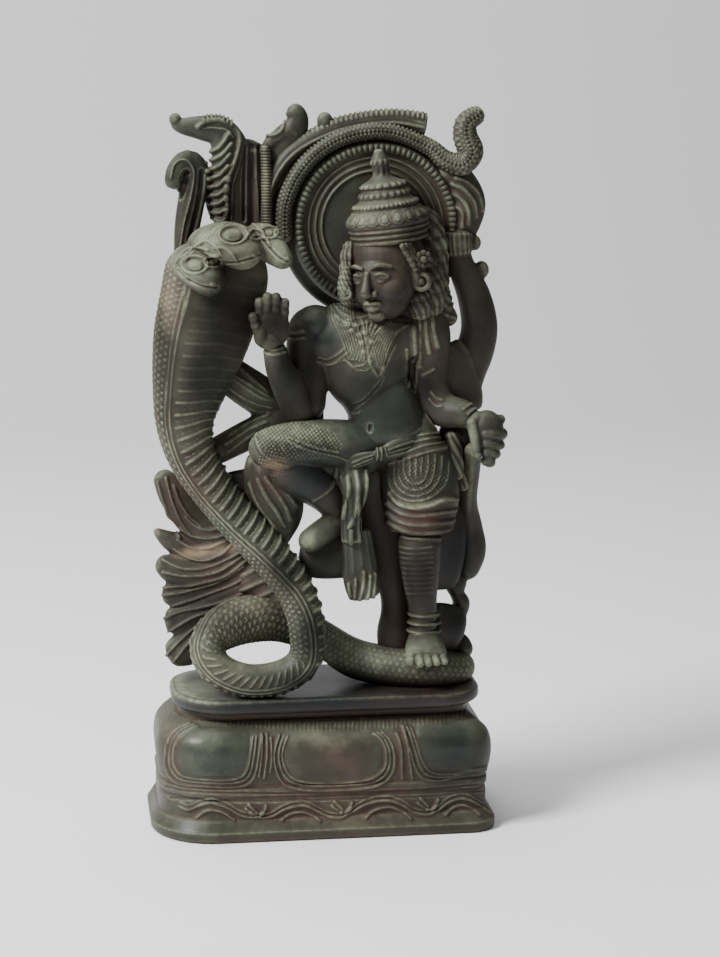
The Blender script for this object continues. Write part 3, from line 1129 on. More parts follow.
def hoop(name, middle, radius, thickness, tilt):
    """A ring-shaped ornament seen from the front."""
    clear_selection()
    bpy.ops.mesh.primitive_torus_add(
        location=Vector(middle) * MM, rotation=(math.radians(90), 0, tilt),
        major_radius=radius * MM, minor_radius=thickness * MM, major_segments=40, minor_segments=14)
    piece = bpy.context.object
    piece.name = name
    bpy.ops.object.transform_apply(location=True, rotation=True, scale=True)
    return piece


lumps += [
    hoop("earring", EARRING, 2.3, 0.8, -0.3),
    ball("ear_drop", EAR_DROP, (1.1, 1.0, 1.1)),
    roll("cheek_lock", CHEEK_LOCK, 36, 0.25, relief=curled(1.5, 0.25)),
    hoop("cheek_ring", CHEEK_RING, 1.3, 0.5, -0.2),
]
for side in (-1, 1):
    for back in TEMPLE_ROWS:
        temple = [
            (side * (8.2 + 0.2 * back), -5.0 + back, 7.6, 0.5, 0.7),
            (side * (9.0 + 0.2 * back), -3.4 + back, 4, 0.7, 0.8),
            (side * 9.6, -1.6 + back, 0, 0.6, 0.7),
        ]
        lumps.append(place_head(roll("temple_hair", temple, 20, 0.3, relief=curled(1.8, 0.14))))
hair = gather("hair_and_earrings", lumps)

# %% [markdown]
# ### Crown
# The crown is turned work: a ribbed headband, a jewelled band with a row of beads, and tiers that
# step in to a bud. It is one roll with a very uneven profile. The jewels repeat round it, so they
# come from the angle.

# %% Tiered crown
CROWN_MIDDLE = np.array([22.2, -4.6, 175.6])
CROWN_SIZE = 1.05
CROWN_LIFT = 5.6
CROWN_PROFILE = [
    (0, 10.0), (0.7, 10.6), (2.2, 10.9), (3.8, 11.2), (5.2, 11.6), (6.0, 12.1), (7.0, 12.0),
    (8.6, 10.9), (10.2, 9.6), (11.0, 9.4), (11.8, 8.9), (12.6, 8.0), (13.4, 7.4), (14.8, 7.0),
    (16.0, 6.3), (16.8, 6.4), (17.8, 5.5), (18.6, 3.9), (19.6, 2.8), (21.0, 2.3), (22.6, 2.5),
    (24.2, 2.4), (25.6, 1.8), (27.2, 0.9),
]
HEADBAND_RIDGES = (1.3, 2.9, 4.5)
JEWELS_ROUND = 20
BEADS_ROUND = 44


def crown_work(along, angle, station, radius):
    """Headband ridges, jewels on the sloping band, a bead ring and scallops on the tiers."""
    height = np.interp(station, np.arange(len(CROWN_PROFILE)), [h for h, r in CROWN_PROFILE])
    out = sum(0.5 * ridge(height - level, 1.2) for level in HEADBAND_RIDGES)
    share = (JEWELS_ROUND * angle / TURN) % 1 - 0.5
    oval = np.hypot(share / 0.34, (height - 8.2) / 1.3)
    jewel = np.clip(1 - oval**2, 0, 1) ** 0.5
    rim = np.exp(-((oval - 1.25) / 0.16) ** 2)
    beads = ridge(height - 11.6, 1.5) * (0.2 + 0.8 * np.abs(np.cos(BEADS_ROUND * angle / 2))) * 0.7
    scallops = 0.0
    for level, count in ((14.4, 22), (17.0, 18), (23.4, 10)):
        scallops = scallops + ridge(height - level, 2.0) * np.abs(np.cos(count * angle / 2)) * 0.5
    flutes = ridge(height - 21, 3) * 0.25 * np.cos(9 * angle)
    return out + 0.6 * jewel + 0.35 * rim + beads + scallops + flutes


crown = roll("crown", [(0, 1.2, CROWN_LIFT + h, r, r) for h, r in CROWN_PROFILE], 168, 0.22,
             relief=crown_work, tip=0.05)
place_head(crown, CROWN_MIDDLE, CROWN_SIZE)
print("crown faces", len(crown.data.polygons))

# %% [markdown]
# ## Halo and arch
# Behind the head stands a round halo: a flat disc with three thin rings and an outer ring of beads.
# A scaled serpent's tail runs over it and curls up at the right. Outside the tail lie a smooth band
# and a notched crest that is cut off square. The halo is turned work about a level axis, so it has
# its own small helper, and the rest are rolls.

# %% Halo
HALO = {"x": 18.5, "z": 186.2}
HALO_PROFILE = [
    (0, 3.4), (8, 3.4), (16, 3.4), (21.8, 3.2), (22.4, 2.4), (24.8, 2.4), (25.6, 3.4), (25.8, 5),
    (28.8, 6.6), (28.6, 9), (24, 9.4), (12, 9.4), (0, 9.4),
]
HALO_RINGS = (16.6, 18.6, 20.6)
HALO_BEADS = 88


def turned_disc(name, profile, middle, sides, step, relief):
    """A profile of (radius, depth) turned about a level axis, with a relief towards the front."""
    rows, _ = smooth_line([(radius, 0, depth) for radius, depth in profile], step)
    clear_selection()
    bpy.ops.mesh.primitive_grid_add(x_subdivisions=sides, y_subdivisions=len(rows) - 1, size=2)
    piece = bpy.context.object
    piece.name = name
    at = points_of(piece) * MM
    angle = at[:, 0] * math.pi
    row = np.rint((at[:, 1] + 1) / 2 * (len(rows) - 1)).astype(int)
    radius = np.clip(rows[row, 0], 0, None)
    radius[(row == 0) | (row == len(rows) - 1)] = 0
    front = row < len(rows) / 2
    depth = rows[row, 2] - np.where(front, relief(radius, angle), 0)
    put_points(piece, np.column_stack([
        middle["x"] + radius * np.cos(angle), depth, middle["z"] + radius * np.sin(angle)]))
    return close_up(piece)


def halo_relief(radius, angle):
    """Thin rings and short radial beads."""
    rings = sum(ridge(radius - ring, 1.1) * 0.6 for ring in HALO_RINGS)
    beads = ridge(radius - 23.7, 2.8) * (0.35 + 0.75 * np.abs(np.cos(HALO_BEADS * angle / 2)))
    return rings + beads


halo = turned_disc("halo", HALO_PROFILE, HALO, 352, 0.36, halo_relief)
print("halo faces", len(halo.data.polygons))

# %% The serpent's tail and the bands outside it
TAIL_REACH = 28.7
TAIL_OVER = [
    (HALO["x"] + TAIL_REACH * math.cos(math.radians(degrees)), 3,
     HALO["z"] + TAIL_REACH * math.sin(math.radians(degrees)), 2.4, 2.6)
    for degrees in (190, 164, 138, 112, 84, 57)]
TAIL_CURL = [
    (39.6, 3, 206, 2.9, 3), (44.6, 3, 204.6, 3.4, 3.2), (47.6, 3, 208.2, 3.8, 3.2),
    (46, 3, 213, 3.6, 3), (46.2, 3, 217, 3.2, 2.8), (49.6, 3, 219.6, 2.7, 2.4),
    (51.4, 3, 220.8, 2.2, 2),
]
SMOOTH_BAND = [(-11.2, 6.2, 178, 1.7, 2.6), (-11.4, 6.2, 190, 1.7, 2.6), (-8.8, 6.2, 199.6, 1.7, 2.6),
               (-2.8, 6.2, 207.6, 1.6, 2.6), (5, 6.2, 212.4, 1.2, 2.2)]
CREST = [(-15.4, 5.6, 178, 2.4, 3), (-15.6, 5.6, 190, 2.4, 3), (-12.8, 5.6, 200.6, 2.5, 3),
         (-6.4, 5.6, 208.8, 2.8, 3.2), (4.2, 5.6, 214.4, 3, 3.2), (14.4, 5.6, 217, 3, 3.2),
         (24.6, 5.6, 217.6, 3.2, 3.2), (34.4, 5.6, 216, 3.6, 3.2)]
NOTCHED_FROM = 3.2


def tail_scales(along, angle, station, radius):
    """Small staggered scales, and a row of short notches along the outer edge."""
    u = along / 1.25
    v = angle * radius / 1.5
    scales = np.clip(np.cos(TURN * u) * np.cos(math.pi * v), -0.3, 1) * 0.3
    ribs = np.abs(np.cos(math.pi * u)) * 0.22
    groove = -0.35 * ridge(angle * radius - 0.2, 0.8)
    return scales + ribs + groove


def notched(pitch, depth):
    """Notches cut across the outer edge and a smooth step inside it."""
    def relief(along, angle, station, radius):
        edge = np.clip((-angle - 0.5) / 0.4, 0, 1) * np.clip(station - NOTCHED_FROM, 0, 1)
        teeth = np.abs(np.sin(math.pi * along / pitch)) * depth
        step = 0.5 * ridge(angle * radius - 0.4, 1.2)
        return edge * teeth + step
    return relief


def edged(count, depth):
    """Raised lines that run along a roll."""
    def relief(along, angle, station, radius):
        return depth * (np.abs(np.cos(count * angle / 2)) ** 3)
    return relief


arch = gather("tail_arch", [
    roll("tail", [*TAIL_OVER, *TAIL_CURL], 72, 0.4, relief=tail_scales),
    roll("crest", CREST, 72, 0.35, relief=notched(1.5, 0.8), tip=0.3),
    roll("band", SMOOTH_BAND, 40, 0.5),
])
print("arch faces", len(arch.data.polygons))

# %% [markdown]
# ## Flames at the left
# Curled flames and a great feathered plume fill the corner over the cobra. The plume has barbs cut
# slantwise down one side of a smooth spine. A solid plate ties them to the arch behind.

# %% Hook, plume, strips and curls
HOOK = [
    (-40.2, 1, 168, 2.8, 4), (-39.8, 3.6, 176, 3.4, 3.4), (-39, 4.6, 186, 3.9, 3),
    (-37.4, 5, 195, 4.2, 2.8), (-36, 5, 201.4, 4.4, 2.8), (-38.4, 4.6, 205.4, 4.2, 2.8),
    (-41.6, 3.8, 203, 3.6, 2.8), (-42.8, 3.2, 199.6, 3, 2.4), (-43, 3, 197.6, 2.6, 2),
]
PLUME = [
    (-24, 4, 178, 4.8, 4), (-24.4, 5, 188, 5.6, 3.8), (-25, 5, 194, 6.2, 3.8),
    (-25.4, 5, 201, 6.2, 3.8), (-25.6, 5, 209, 5.8, 3.8), (-28.6, 5, 214.6, 4.8, 3.6),
    (-34.4, 5, 216, 3.7, 3), (-40, 5, 216.6, 2.5, 2.2), (-43.6, 5, 217.6, 1.1, 1.4),
]
STRIPS = [
    [(-17.8, 5, 177, 1.7, 2.4), (-17.8, 5, 194, 1.7, 2.4), (-18.2, 5, 210, 1.2, 2)],
    [(-14.8, 4.4, 177, 1.7, 2.8), (-14.8, 4.4, 194, 1.7, 2.8), (-15.2, 4.4, 210.8, 1.4, 2.4)],
]
CURL_FLAME = [
    (-10, 7, 196, 5, 2.6), (-9, 7, 205, 5.4, 2.8), (-8.4, 6.6, 211, 5.6, 3), (-5.6, 6.2, 216, 3.9, 2.8),
    (-5.4, 6.2, 219.6, 3.2, 2.5), (-8, 6.2, 222, 2.4, 2),
]
CURL_LOBE = [
    (-4, 6, 213.6, 2.6, 2.6), (-8.6, 5.4, 214.4, 2.4, 2.4), (-13.4, 5.4, 211.6, 2, 2),
    (-15.4, 5.6, 208.6, 1, 1.2),
]
SMALL_TIP = [(4.6, 5.6, 212, 3, 2.6), (3.4, 5.4, 217, 2.6, 2.4), (2.6, 5.4, 220.6, 2, 2)]
BACK_PLATE = [
    (-17.4, 7.6, 176, 10.4, 2.2), (-18, 7.6, 188, 11, 2.2), (-20, 7.6, 195, 13.4, 2.2),
    (-18, 7.6, 202, 11.4, 2.2), (-13, 7.6, 209.4, 7.4, 2.2),
]
BEAK_BALL = ((-42.2, 4.6, 218.6), (1.9, 1.5, 2))
HOOK_LINES = [
    [
        (181, 246), (184, 225), (189, 205), (193, 186), (194, 172), (189, 162), (181, 160), (174, 166),
        (171, 178),
    ],
]
HOOK_HOLLOW = [[(190, 240), (195, 220), (200, 196), (202, 172)], [(180, 196), (184, 184), (186, 174)]]
BEAK_HOLLOW = [[(182, 181), (184, 174), (188, 172)]]
PLUME_RIM = [
    [
        (226, 217), (228, 207), (226, 195), (228, 180), (233, 166), (237, 153), (239, 142), (237, 132),
        (230, 125), (219, 121), (207, 122), (198, 127),
    ],
]
PLUME_BAND = [[(232, 218), (232, 200), (233, 184), (238, 168), (241, 154), (243, 142)],
              [(203, 128), (214, 128), (226, 130), (233, 137)]]
NOTCHES = [[(x, y), (x + 1, y + 4)] for x, y in
           [(203, 117), (207, 114), (211, 113), (215, 112), (219, 113), (223, 115), (227, 117), (231, 121)]]
BARB_ROOTS = [
    (209, 153), (208, 162), (208, 171), (209, 179), (209.5, 187), (210, 195), (210, 203), (211, 210),
    (213, 217),
]
BARB_ENDS = [
    (228, 135), (231, 144), (230, 154), (228, 166), (226, 178), (225.7, 188.5), (224.6, 199),
    (224.6, 210), (225, 220),
]
BARBS = [
    [(x, y), ((x + u) / 2 + 1.5, (y + v) / 2 + 2.5), (u, v)]
    for (x, y), (u, v) in zip(BARB_ROOTS, BARB_ENDS)
]
STRIP_GROOVES = [[(245, 146), (244, 180), (244, 220)], [(259, 146), (260, 180), (262, 220)]]
CURL_LINES = [[(258, 138), (266, 136), (275, 135), (282, 130), (285, 121), (285, 110)],
              [(258, 133), (268, 128), (276, 126)], [(276, 118), (279, 108)]]
CURL_HOLLOW = [[(264, 133), (272, 132), (279, 129)]]


def crossed(pitch, depth):
    """Short level notches along a strip."""
    def relief(along, angle, station, radius):
        return depth * np.abs(np.cos(math.pi * along / pitch)) * (np.abs(angle) < 2)
    return relief


flames = fuse("left_flames", [
    roll("hook", HOOK, 40, 0.8), roll("plume", PLUME, 48, 0.8), roll("strip", STRIPS[0], 24, 0.8),
    roll("curl_flame", CURL_FLAME, 40, 0.8), roll("curl_lobe", CURL_LOBE, 32, 0.6),
    roll("small_tip", SMALL_TIP, 32, 0.6), roll("back_plate", BACK_PLATE, 56, 0.9, square=0.7),
    ball("beak_ball", *BEAK_BALL), ball("hook_hollow", (-39.6, 4.8, 200), (3.4, 1.6, 4)),
], 0.34, 3)
draw_all(flames, HOOK_HOLLOW, 2.6, -1.2)
draw_all(flames, BEAK_HOLLOW, 2.2, -1.2)
draw_all(flames, HOOK_LINES, 1.1, 0.7)
draw_all(flames, BARBS, 2.4, 1.2, pitch=2.0)
draw_all(flames, STRIP_GROOVES, 1.6, -1.0)
draw_all(flames, PLUME_RIM, 2.3, 1.2)
draw_all(flames, PLUME_BAND, 1.0, 0.55)
draw_all(flames, NOTCHES, 1.1, 0.8, pitch=1.0)
draw_all(flames, CURL_HOLLOW, 1.6, -0.9)
draw_all(flames, CURL_LINES, 1.2, 0.7)
ribbed_strip = roll("ribbed_strip", STRIPS[1], 40, 0.2, relief=crossed(0.9, 0.3))
flames = gather("left_flames", [flames, ribbed_strip])
print("flame faces", len(flames.data.polygons))

# %% [markdown]
# ## Right edge and tail fan
# The right edge is a ribbed plume, a thick plain band that bows out and in, knobs, and a long strap
# that the left hand touches. At the lower left the cobra's tail spreads as a fan of curved leaves
# with ribs that sweep down from the body to scalloped tips.

# %% Plume, band, knobs and strap
RIGHT_PLUME = [(37.4, 6, 203.4, 4.6, 2.8), (43, 6, 199.4, 5.2, 3.2), (46, 6, 193, 6, 3.6),
               (45.6, 6, 187, 5.2, 3.6), (43.6, 5, 182, 3.6, 3.6)]
RIGHT_BAND = [
    (43.6, 4, 180, 3.6, 4), (45.4, 4, 173, 4.2, 4.2), (49.2, 4, 164, 5.2, 4.8), (51, 4, 155, 5.7, 5),
    (49.8, 4, 147.4, 6, 5), (46.6, 3, 140, 6.2, 5), (44.4, 1, 132, 5.8, 5),
]
BAND_CUFF = [(43.8, 3.6, 184.4, 4.6, 4.2), (43.8, 3.4, 180.6, 4.5, 4.4), (44.2, 3.6, 176.6, 4.2, 4.2)]
KNOBS = [
    ((49.4, 4.4, 180.4), (2, 2.4, 2.4)), ((51.6, 4.6, 172), (2.4, 2.6, 2.8)),
    ((51.8, 4, 143.6), (2.5, 2.6, 2.4)), ((49.6, 4, 138), (2, 2.4, 2.6)),
    ((49.2, 3, 132.4), (2.6, 2.6, 3)), ((48.4, 2, 127), (2, 2.4, 2.6)),
]
STRAP = [(47.4, -9, 120, 2.6, 2.6), (47.2, -4, 110, 2.7, 2.8), (47, 0, 100, 2.9, 3), (48, 3, 91, 4.2, 3.6),
         (48.8, 3.6, 83, 4.6, 4), (46.6, 4, 74, 3.2, 3.2)]
LOWER_STRIP = [
    (44.6, 4, 77, 3, 3), (44.2, 4, 72.6, 3.5, 3.2), (44.8, 4, 69.4, 2.4, 2.8), (46, 4, 66.6, 2.8, 3),
    (45.2, 4, 63.4, 2.8, 3), (44.6, 4, 60.4, 2.7, 3), (43.4, 4, 56.6, 2.4, 3),
    (45.6, 2, 53.4, 3.4, 3.2), (46.6, 1, 49, 3.6, 3.4),
]
PLUME_RIBS = [
    [(456, 178), (466, 182), (478, 194), (482, 210)], [(452, 184), (464, 190), (474, 202), (476, 216)],
    [(448, 192), (460, 198), (468, 210), (468, 224)], [(452, 204), (462, 212), (462, 228)],
]

right_edge = gather("right_edge", [
    roll("right_plume", RIGHT_PLUME, 72, 0.45, relief=edged(4, 0.9)),
    roll("right_band", RIGHT_BAND, 64, 0.5),
    roll("band_cuff", BAND_CUFF, 72, 0.4, relief=edged(18, 0.5), tip=0.3),
    *[ball("knob", *knob) for knob in KNOBS],
    roll("lower_strip", LOWER_STRIP, 40, 0.5),
    roll("strap", STRAP, 48, 0.5, relief=edged(4, 0.3)),
])
right_edge = fuse("right_edge", [right_edge], 0.42, 3)
draw_all(right_edge, PLUME_RIBS, 2.2, 0.7)
print("right edge faces", len(right_edge.data.polygons))

# %% Tail fan
FAN_LEAVES = [
    [
        (-26, 3, 87.6, 5, 3.4), (-36, 5, 93.6, 5.8, 3.6), (-43.6, 6, 103, 5.2, 3.2),
        (-48.8, 6, 111, 2.6, 2),
    ],
    [
        (-22, 2, 86.4, 4.4, 3.2), (-34.6, 5, 85, 5, 3.2), (-44.6, 6, 88.4, 3.4, 2.8),
        (-50.6, 6, 92.6, 0.9, 1.4),
    ],
    [
        (-20.6, 2, 83.6, 4.6, 3.2), (-33, 4, 78.6, 5.2, 3.2), (-43.8, 5, 79.6, 4.8, 3),
        (-49.8, 5, 83.4, 2.4, 1.8),
    ],
    [
        (-18, 1, 80.4, 5, 3.2), (-28.6, 4, 74.6, 5.8, 3.2), (-39.6, 5, 71.6, 5.6, 3),
        (-48.4, 5, 73.2, 3.2, 1.8),
    ],
    [(-17, 1, 76, 5, 3.2), (-28.8, 3, 69.6, 6, 3.2), (-39.6, 4, 64.4, 5.8, 3), (-48, 4, 64, 3.4, 1.8)],
    [
        (-22, 0, 68, 6, 3.2), (-31.6, 3, 61.4, 7, 3.2), (-40.6, 4, 55.2, 6.2, 3),
        (-47.4, 4, 52.4, 3.6, 1.8),
    ],
]
FAN_RIBS = [
    [(226, 541), (206, 548), (190, 547), (178, 540)],
    [(231, 545), (222, 554), (205, 560), (190, 558), (174, 549)],
    [(240, 552), (220, 563), (200, 569), (180, 568), (163, 560)],
    [(243, 556), (222, 570), (205, 575), (185, 576), (163, 572)],
    [(247, 560), (225, 576), (205, 582), (185, 586), (160, 588)],
    [(244, 566), (222, 580), (200, 588), (180, 593), (163, 595)],
    [(254, 571), (235, 584), (215, 592), (195, 599), (172, 606)],
    [(259, 583), (240, 595), (220, 603), (200, 608), (180, 612), (163, 619)],
    [(235, 600), (215, 610), (195, 617), (178, 626), (165, 633)],
    [(226, 607), (205, 620), (190, 632), (175, 646), (166, 656)],
    [(215, 622), (200, 632), (188, 644), (174, 661)], [(158, 482), (164, 502), (172, 524), (180, 538)],
    [(166, 478), (172, 500), (181, 521), (192, 536)], [(174, 486), (180, 502), (190, 517), (202, 528)],
    [(186, 517), (196, 526), (208, 530), (220, 528)], [(180, 528), (194, 536), (210, 538), (226, 535)],
]
fan = fuse("tail_fan", [roll("leaf", rows, 44, 0.8) for rows in FAN_LEAVES], 0.42, 4)
draw_all(fan, FAN_RIBS, 1.3, 0.75)
print("fan faces", len(fan.data.polygons))

# %% [markdown]
# ## Stone left between the limbs
# Stone can't hang free, so the carver leaves webs that tie the limbs, the cobra and the arch
# together. They are plain, tapering forms behind the figure.

# %% Webs
WEBS = [
    [
        (18, -3, 114, 9, 4.4), (19.4, -3, 98, 8.2, 4), (21.4, -2.4, 84, 7, 3.8),
        (23.8, -1, 73, 4.9, 3.8), (24.2, -1, 66, 4.6, 3.8), (24, -2, 59, 5.8, 4),
        (24.6, -2, 50, 5.4, 4.2),
    ],
    [(-7, -6, 85, 5.6, 3.4), (1, -7, 85, 6.8, 4), (12, -7, 86, 7.4, 4.4)],
    [
        (-3, -1, 127.6, 4.6, 3.6), (-12, -3, 126.4, 5.2, 3.8), (-20, -3, 124, 4.8, 3.6),
        (-34, -4, 117.4, 4.2, 3.6),
    ],
    [(-32, -6, 107.4, 4, 3), (-24, -5, 108.2, 4.8, 3.4), (-16, -5, 108.4, 5.2, 3.6)],
    [(-8, -8, 113.6, 4, 4), (8, -6, 113.6, 4.2, 4)],
    [(-4, -3, 128, 6, 4), (-13, -1.4, 132, 6.2, 3.4), (-22, -2, 138, 6.2, 3), (-30, -3, 144, 5.6, 2.6)],
    [(36, -1.6, 139, 11.4, 3.4), (43, -0.4, 139, 11.6, 3.6), (50, 2, 141, 12, 3.8)],
    [(36, -1.6, 118, 10, 3.8), (43, -2, 116.6, 9.6, 3.8), (48, -3, 115, 8, 3.6)],
    [(33, -3.6, 88, 15, 4), (40, 0, 87, 15.4, 4), (47, 2.4, 86.4, 14.4, 4)],
    [(33, -2, 59, 9, 4.4), (39, 0, 58.6, 9.2, 4.6), (46, 2, 56, 8.4, 4.2)],
    [
        (27.6, -0.4, 151, 4.4, 3), (28.4, -0.4, 140, 4.8, 3), (30.4, -0.4, 131, 5.4, 3.2),
        (35, -0.4, 125, 6, 3.8),
    ],
    [(-2.4, -1.4, 149, 4, 3), (-2.7, -2.4, 138, 4.4, 3), (-2.9, -3, 124, 4.6, 3.2)],
    [(-24, 1, 78, 5, 3.4), (-16, -1, 75, 6.6, 3.8), (-9, -4, 72, 5, 4)],
]
WEB_LINES = [
    [(232, 378), (246, 388), (262, 398), (278, 402)], [(226, 386), (240, 396), (256, 404), (272, 408)],
    [(228, 372), (242, 380), (258, 390), (274, 400)], [(238, 366), (252, 378), (268, 392)],
    [(224, 392), (238, 402), (254, 410), (270, 413)], [(228, 436), (240, 428), (252, 421), (268, 415)],
    [(226, 444), (240, 435), (252, 428), (266, 422)], [(228, 452), (242, 442), (254, 434)],
]
FAN_FILL_LINES = [
    [(234, 566), (256, 556), (278, 541)], [(236, 579), (260, 568), (284, 556)],
    [(238, 592), (262, 582), (288, 570)], [(242, 604), (264, 595), (286, 585)],
]
webs = fuse("webs", [roll("web", rows, 40, 0.8, tip=0.9) for rows in WEBS], 0.5, 12)
draw_all(webs, WEB_LINES, 1.6, 0.4)
draw_all(webs, FAN_FILL_LINES, 2.2, 0.8)
print("web faces", len(webs.data.polygons))

# %% [markdown]
# ## Weathering
# Old dark stone tells its story by shape: dust settles on ledges and worn ridges turn pale, while
# oil and red earth stay in the cuts. The mesh is asked where it is hollow and where it is raised, by
# comparing each point with the average of its neighbours. The answer is kept as an attribute that
# the material reads, so the finish belongs to the surface and looks the same from every side.

# %% How hollow each point is, kept on the mesh
FINE_ROUNDS = 3
BROAD_ROUNDS = 14
FINE_SCALE = 0.10
BROAD_SCALE = 0.55


def average_of_neighbours(values, edges, counts):
    """Each point's value, averaged with those of its neighbours."""
    total = values.copy()
    for column in range(values.shape[1]):
        total[:, column] += np.bincount(edges[:, 0], values[edges[:, 1], column], len(values))
        total[:, column] += np.bincount(edges[:, 1], values[edges[:, 0], column], len(values))
    return total / (counts[:, None] + 1)


def keep_value(piece, name, values):
    """Keeps one number for each point of the mesh."""
    kept = piece.data.attributes.new(name, "FLOAT", "POINT")
    kept.data.foreach_set("value", values.astype(np.float32))


def weather(piece):
    """Keeps how hollow (above 0) or raised (below 0) the surface is, at a fine and a broad scale."""
    points = points_of(piece)
    normals = normals_of(piece)
    flat = np.empty(len(piece.data.edges) * 2, np.int32)
    piece.data.edges.foreach_get("vertices", flat)
    edges = flat.reshape(-1, 2)
    counts = np.bincount(edges.ravel(), minlength=len(points)).astype(float)
    smooth = points
    for k in range(BROAD_ROUNDS):
        smooth = average_of_neighbours(smooth, edges, counts)
        if k == FINE_ROUNDS - 1:
            fine = ((smooth - points) * normals).sum(1)
    broad = ((smooth - points) * normals).sum(1)
    keep_value(piece, "hollow_fine", np.clip(fine / FINE_SCALE, -1, 1))
    keep_value(piece, "hollow_broad", np.clip(broad / BROAD_SCALE, -1, 1))


# %% [markdown]
# ### Patches that are paler, browner or more polished
# Handling, dust and oil don't lie evenly. A few soft ovals say where the stone is paler, browner,
# sandier or more polished, placed as they are seen from the front. Each is kept as an attribute too.

# %% Soft ovals of pale dust, brown earth, dark oil, sand and polish
PATCHES = {
    "pale": [
        (360, 306, 22, 10, 0, 0.8), (352, 334, 18, 26, 10, 0.7), (300, 434, 62, 12, 5, 0.8),
        (250, 446, 16, 14, 0, 0.6), (358, 478, 24, 10, 0, 0.8), (368, 590, 8, 16, 0, 0.8),
        (424, 654, 26, 12, 0, 1.0), (310, 542, 14, 12, 0, 1.0), (455, 412, 18, 14, 0, 0.2),
        (473, 436, 6, 22, 0, 0.9), (424, 504, 34, 6, 0, 0.8), (400, 442, 24, 12, -15, 0.5),
        (455, 246, 14, 8, 0, 0.8), (470, 206, 12, 8, 0, 0.6), (272, 168, 8, 40, 20, 0.4),
        (358, 214, 18, 12, 0, 0.5), (358, 172, 20, 16, 0, 0.6), (255, 606, 24, 12, 0, 0.6),
        (256, 396, 24, 14, 30, 0.8), (248, 430, 24, 12, -25, 0.8), (340, 318, 14, 22, 0, 0.9),
        (368, 345, 26, 26, 30, 1.0), (420, 338, 16, 24, 0, 0.6), (376, 168, 8, 16, 0, 0.8),
        (345, 285, 10, 18, 0, 0.8), (466, 485, 6, 28, 0, 0.5), (450, 150, 30, 26, 40, 0.5),
        (215, 150, 20, 30, 0, 0.3), (225, 100, 70, 30, 0, 0.25), (272, 352, 14, 8, 0, 0.7),
        (262, 300, 12, 10, 0, 0.5), (240, 640, 60, 50, 0, 0.35), (280, 560, 40, 60, -40, 0.35),
        (190, 690, 26, 12, 20, 1.0), (212, 745, 14, 14, 0, 0.5), (320, 740, 26, 12, 0, 0.4),
        (370, 665, 36, 22, 10, 0.5), (318, 118, 10, 12, 0, 0.4),
    ],
    "brown": [
        (300, 792, 190, 12, 0, 0.9), (170, 760, 16, 60, 0, 0.7), (320, 812, 190, 14, 0, 0.6),
        (418, 255, 14, 22, 0, 0.6), (266, 755, 12, 36, 0, 0.7), (402, 755, 12, 36, 0, 0.7),
        (340, 716, 150, 8, 0, 0.9), (270, 478, 26, 24, 0, 0.8), (425, 524, 36, 16, 0, 1.0),
        (418, 580, 16, 44, 0, 0.6), (420, 690, 60, 16, 0, 0.9), (238, 320, 16, 60, 0, 0.7),
        (335, 760, 48, 26, 0, 0.9), (180, 510, 26, 40, 20, 0.9), (235, 590, 60, 40, 0, 0.5),
        (400, 300, 40, 60, 0, 0.5), (250, 190, 22, 50, 0, 0.5), (166, 752, 10, 30, 0, 0.6),
        (320, 808, 160, 10, 0, 0.5), (395, 625, 14, 26, 0, 0.7), (330, 500, 14, 20, 0, 0.6),
        (430, 350, 20, 50, 0, 0.4), (384, 260, 40, 30, 0, 0.5), (250, 670, 60, 20, 0, 0.2),
        (232, 440, 16, 14, 0, 0.5),
    ],
    "dark": [
        (458, 628, 16, 22, 0, 1.0), (384, 622, 9, 34, 0, 0.9), (455, 556, 26, 44, 0, 1.0),
        (322, 562, 22, 18, 0, 1.0), (224, 300, 28, 20, 0, 1.0), (290, 515, 14, 30, 20, 0.4),
        (405, 690, 70, 8, 0, 0.6), (418, 222, 18, 26, 0, 0.7), (405, 300, 26, 14, 0, 0.6),
        (290, 398, 16, 14, 0, 0.8), (345, 712, 110, 5, 0, 0.4), (224, 320, 30, 56, 0, 1.0),
        (208, 372, 28, 48, 20, 1.0), (166, 352, 14, 60, 0, 0.8), (284, 378, 14, 34, 0, 1.0),
        (272, 318, 16, 18, 0, 0.9), (312, 366, 9, 34, 0, 0.8), (423, 388, 14, 18, 0, 0.9),
        (462, 540, 16, 34, 0, 1.0), (386, 550, 10, 80, 0, 0.7), (238, 484, 18, 26, 0, 0.5),
        (282, 572, 18, 30, -30, 1.0), (308, 636, 16, 30, 0, 1.0), (458, 412, 12, 10, 0, 0.5),
        (433, 270, 12, 30, 0, 0.6), (482, 316, 12, 34, 0, 0.4), (330, 684, 90, 18, 0, 1.0),
        (450, 770, 50, 40, 0, 0.6), (436, 816, 60, 16, 0, 0.4), (308, 482, 20, 20, 0, 0.5),
        (418, 576, 22, 40, 0, 1.0), (362, 394, 24, 22, 0, 0.7), (320, 708, 110, 8, 0, 0.6),
        (232, 196, 22, 34, 0, 0.3), (200, 610, 44, 34, 0, 0.7), (180, 515, 20, 24, 0, 0.5),
    ],
    "sand": [(205, 551, 28, 6, -8, 1.0), (275, 466, 14, 8, 0, 0.4), (170, 300, 8, 30, 0, 0.4)],
    "polish": [
        (325, 333, 20, 22, -20, 1.0), (376, 420, 36, 26, 0, 0.7), (312, 478, 26, 26, 0, 1.0),
        (330, 270, 30, 60, 0, 0.5), (214, 758, 34, 24, 0, 0.8), (452, 748, 34, 30, 0, 1.0),
        (335, 225, 20, 60, 0, 0.5), (425, 590, 14, 50, 0, 0.3), (385, 390, 26, 30, 0, 0.5),
    ],
}


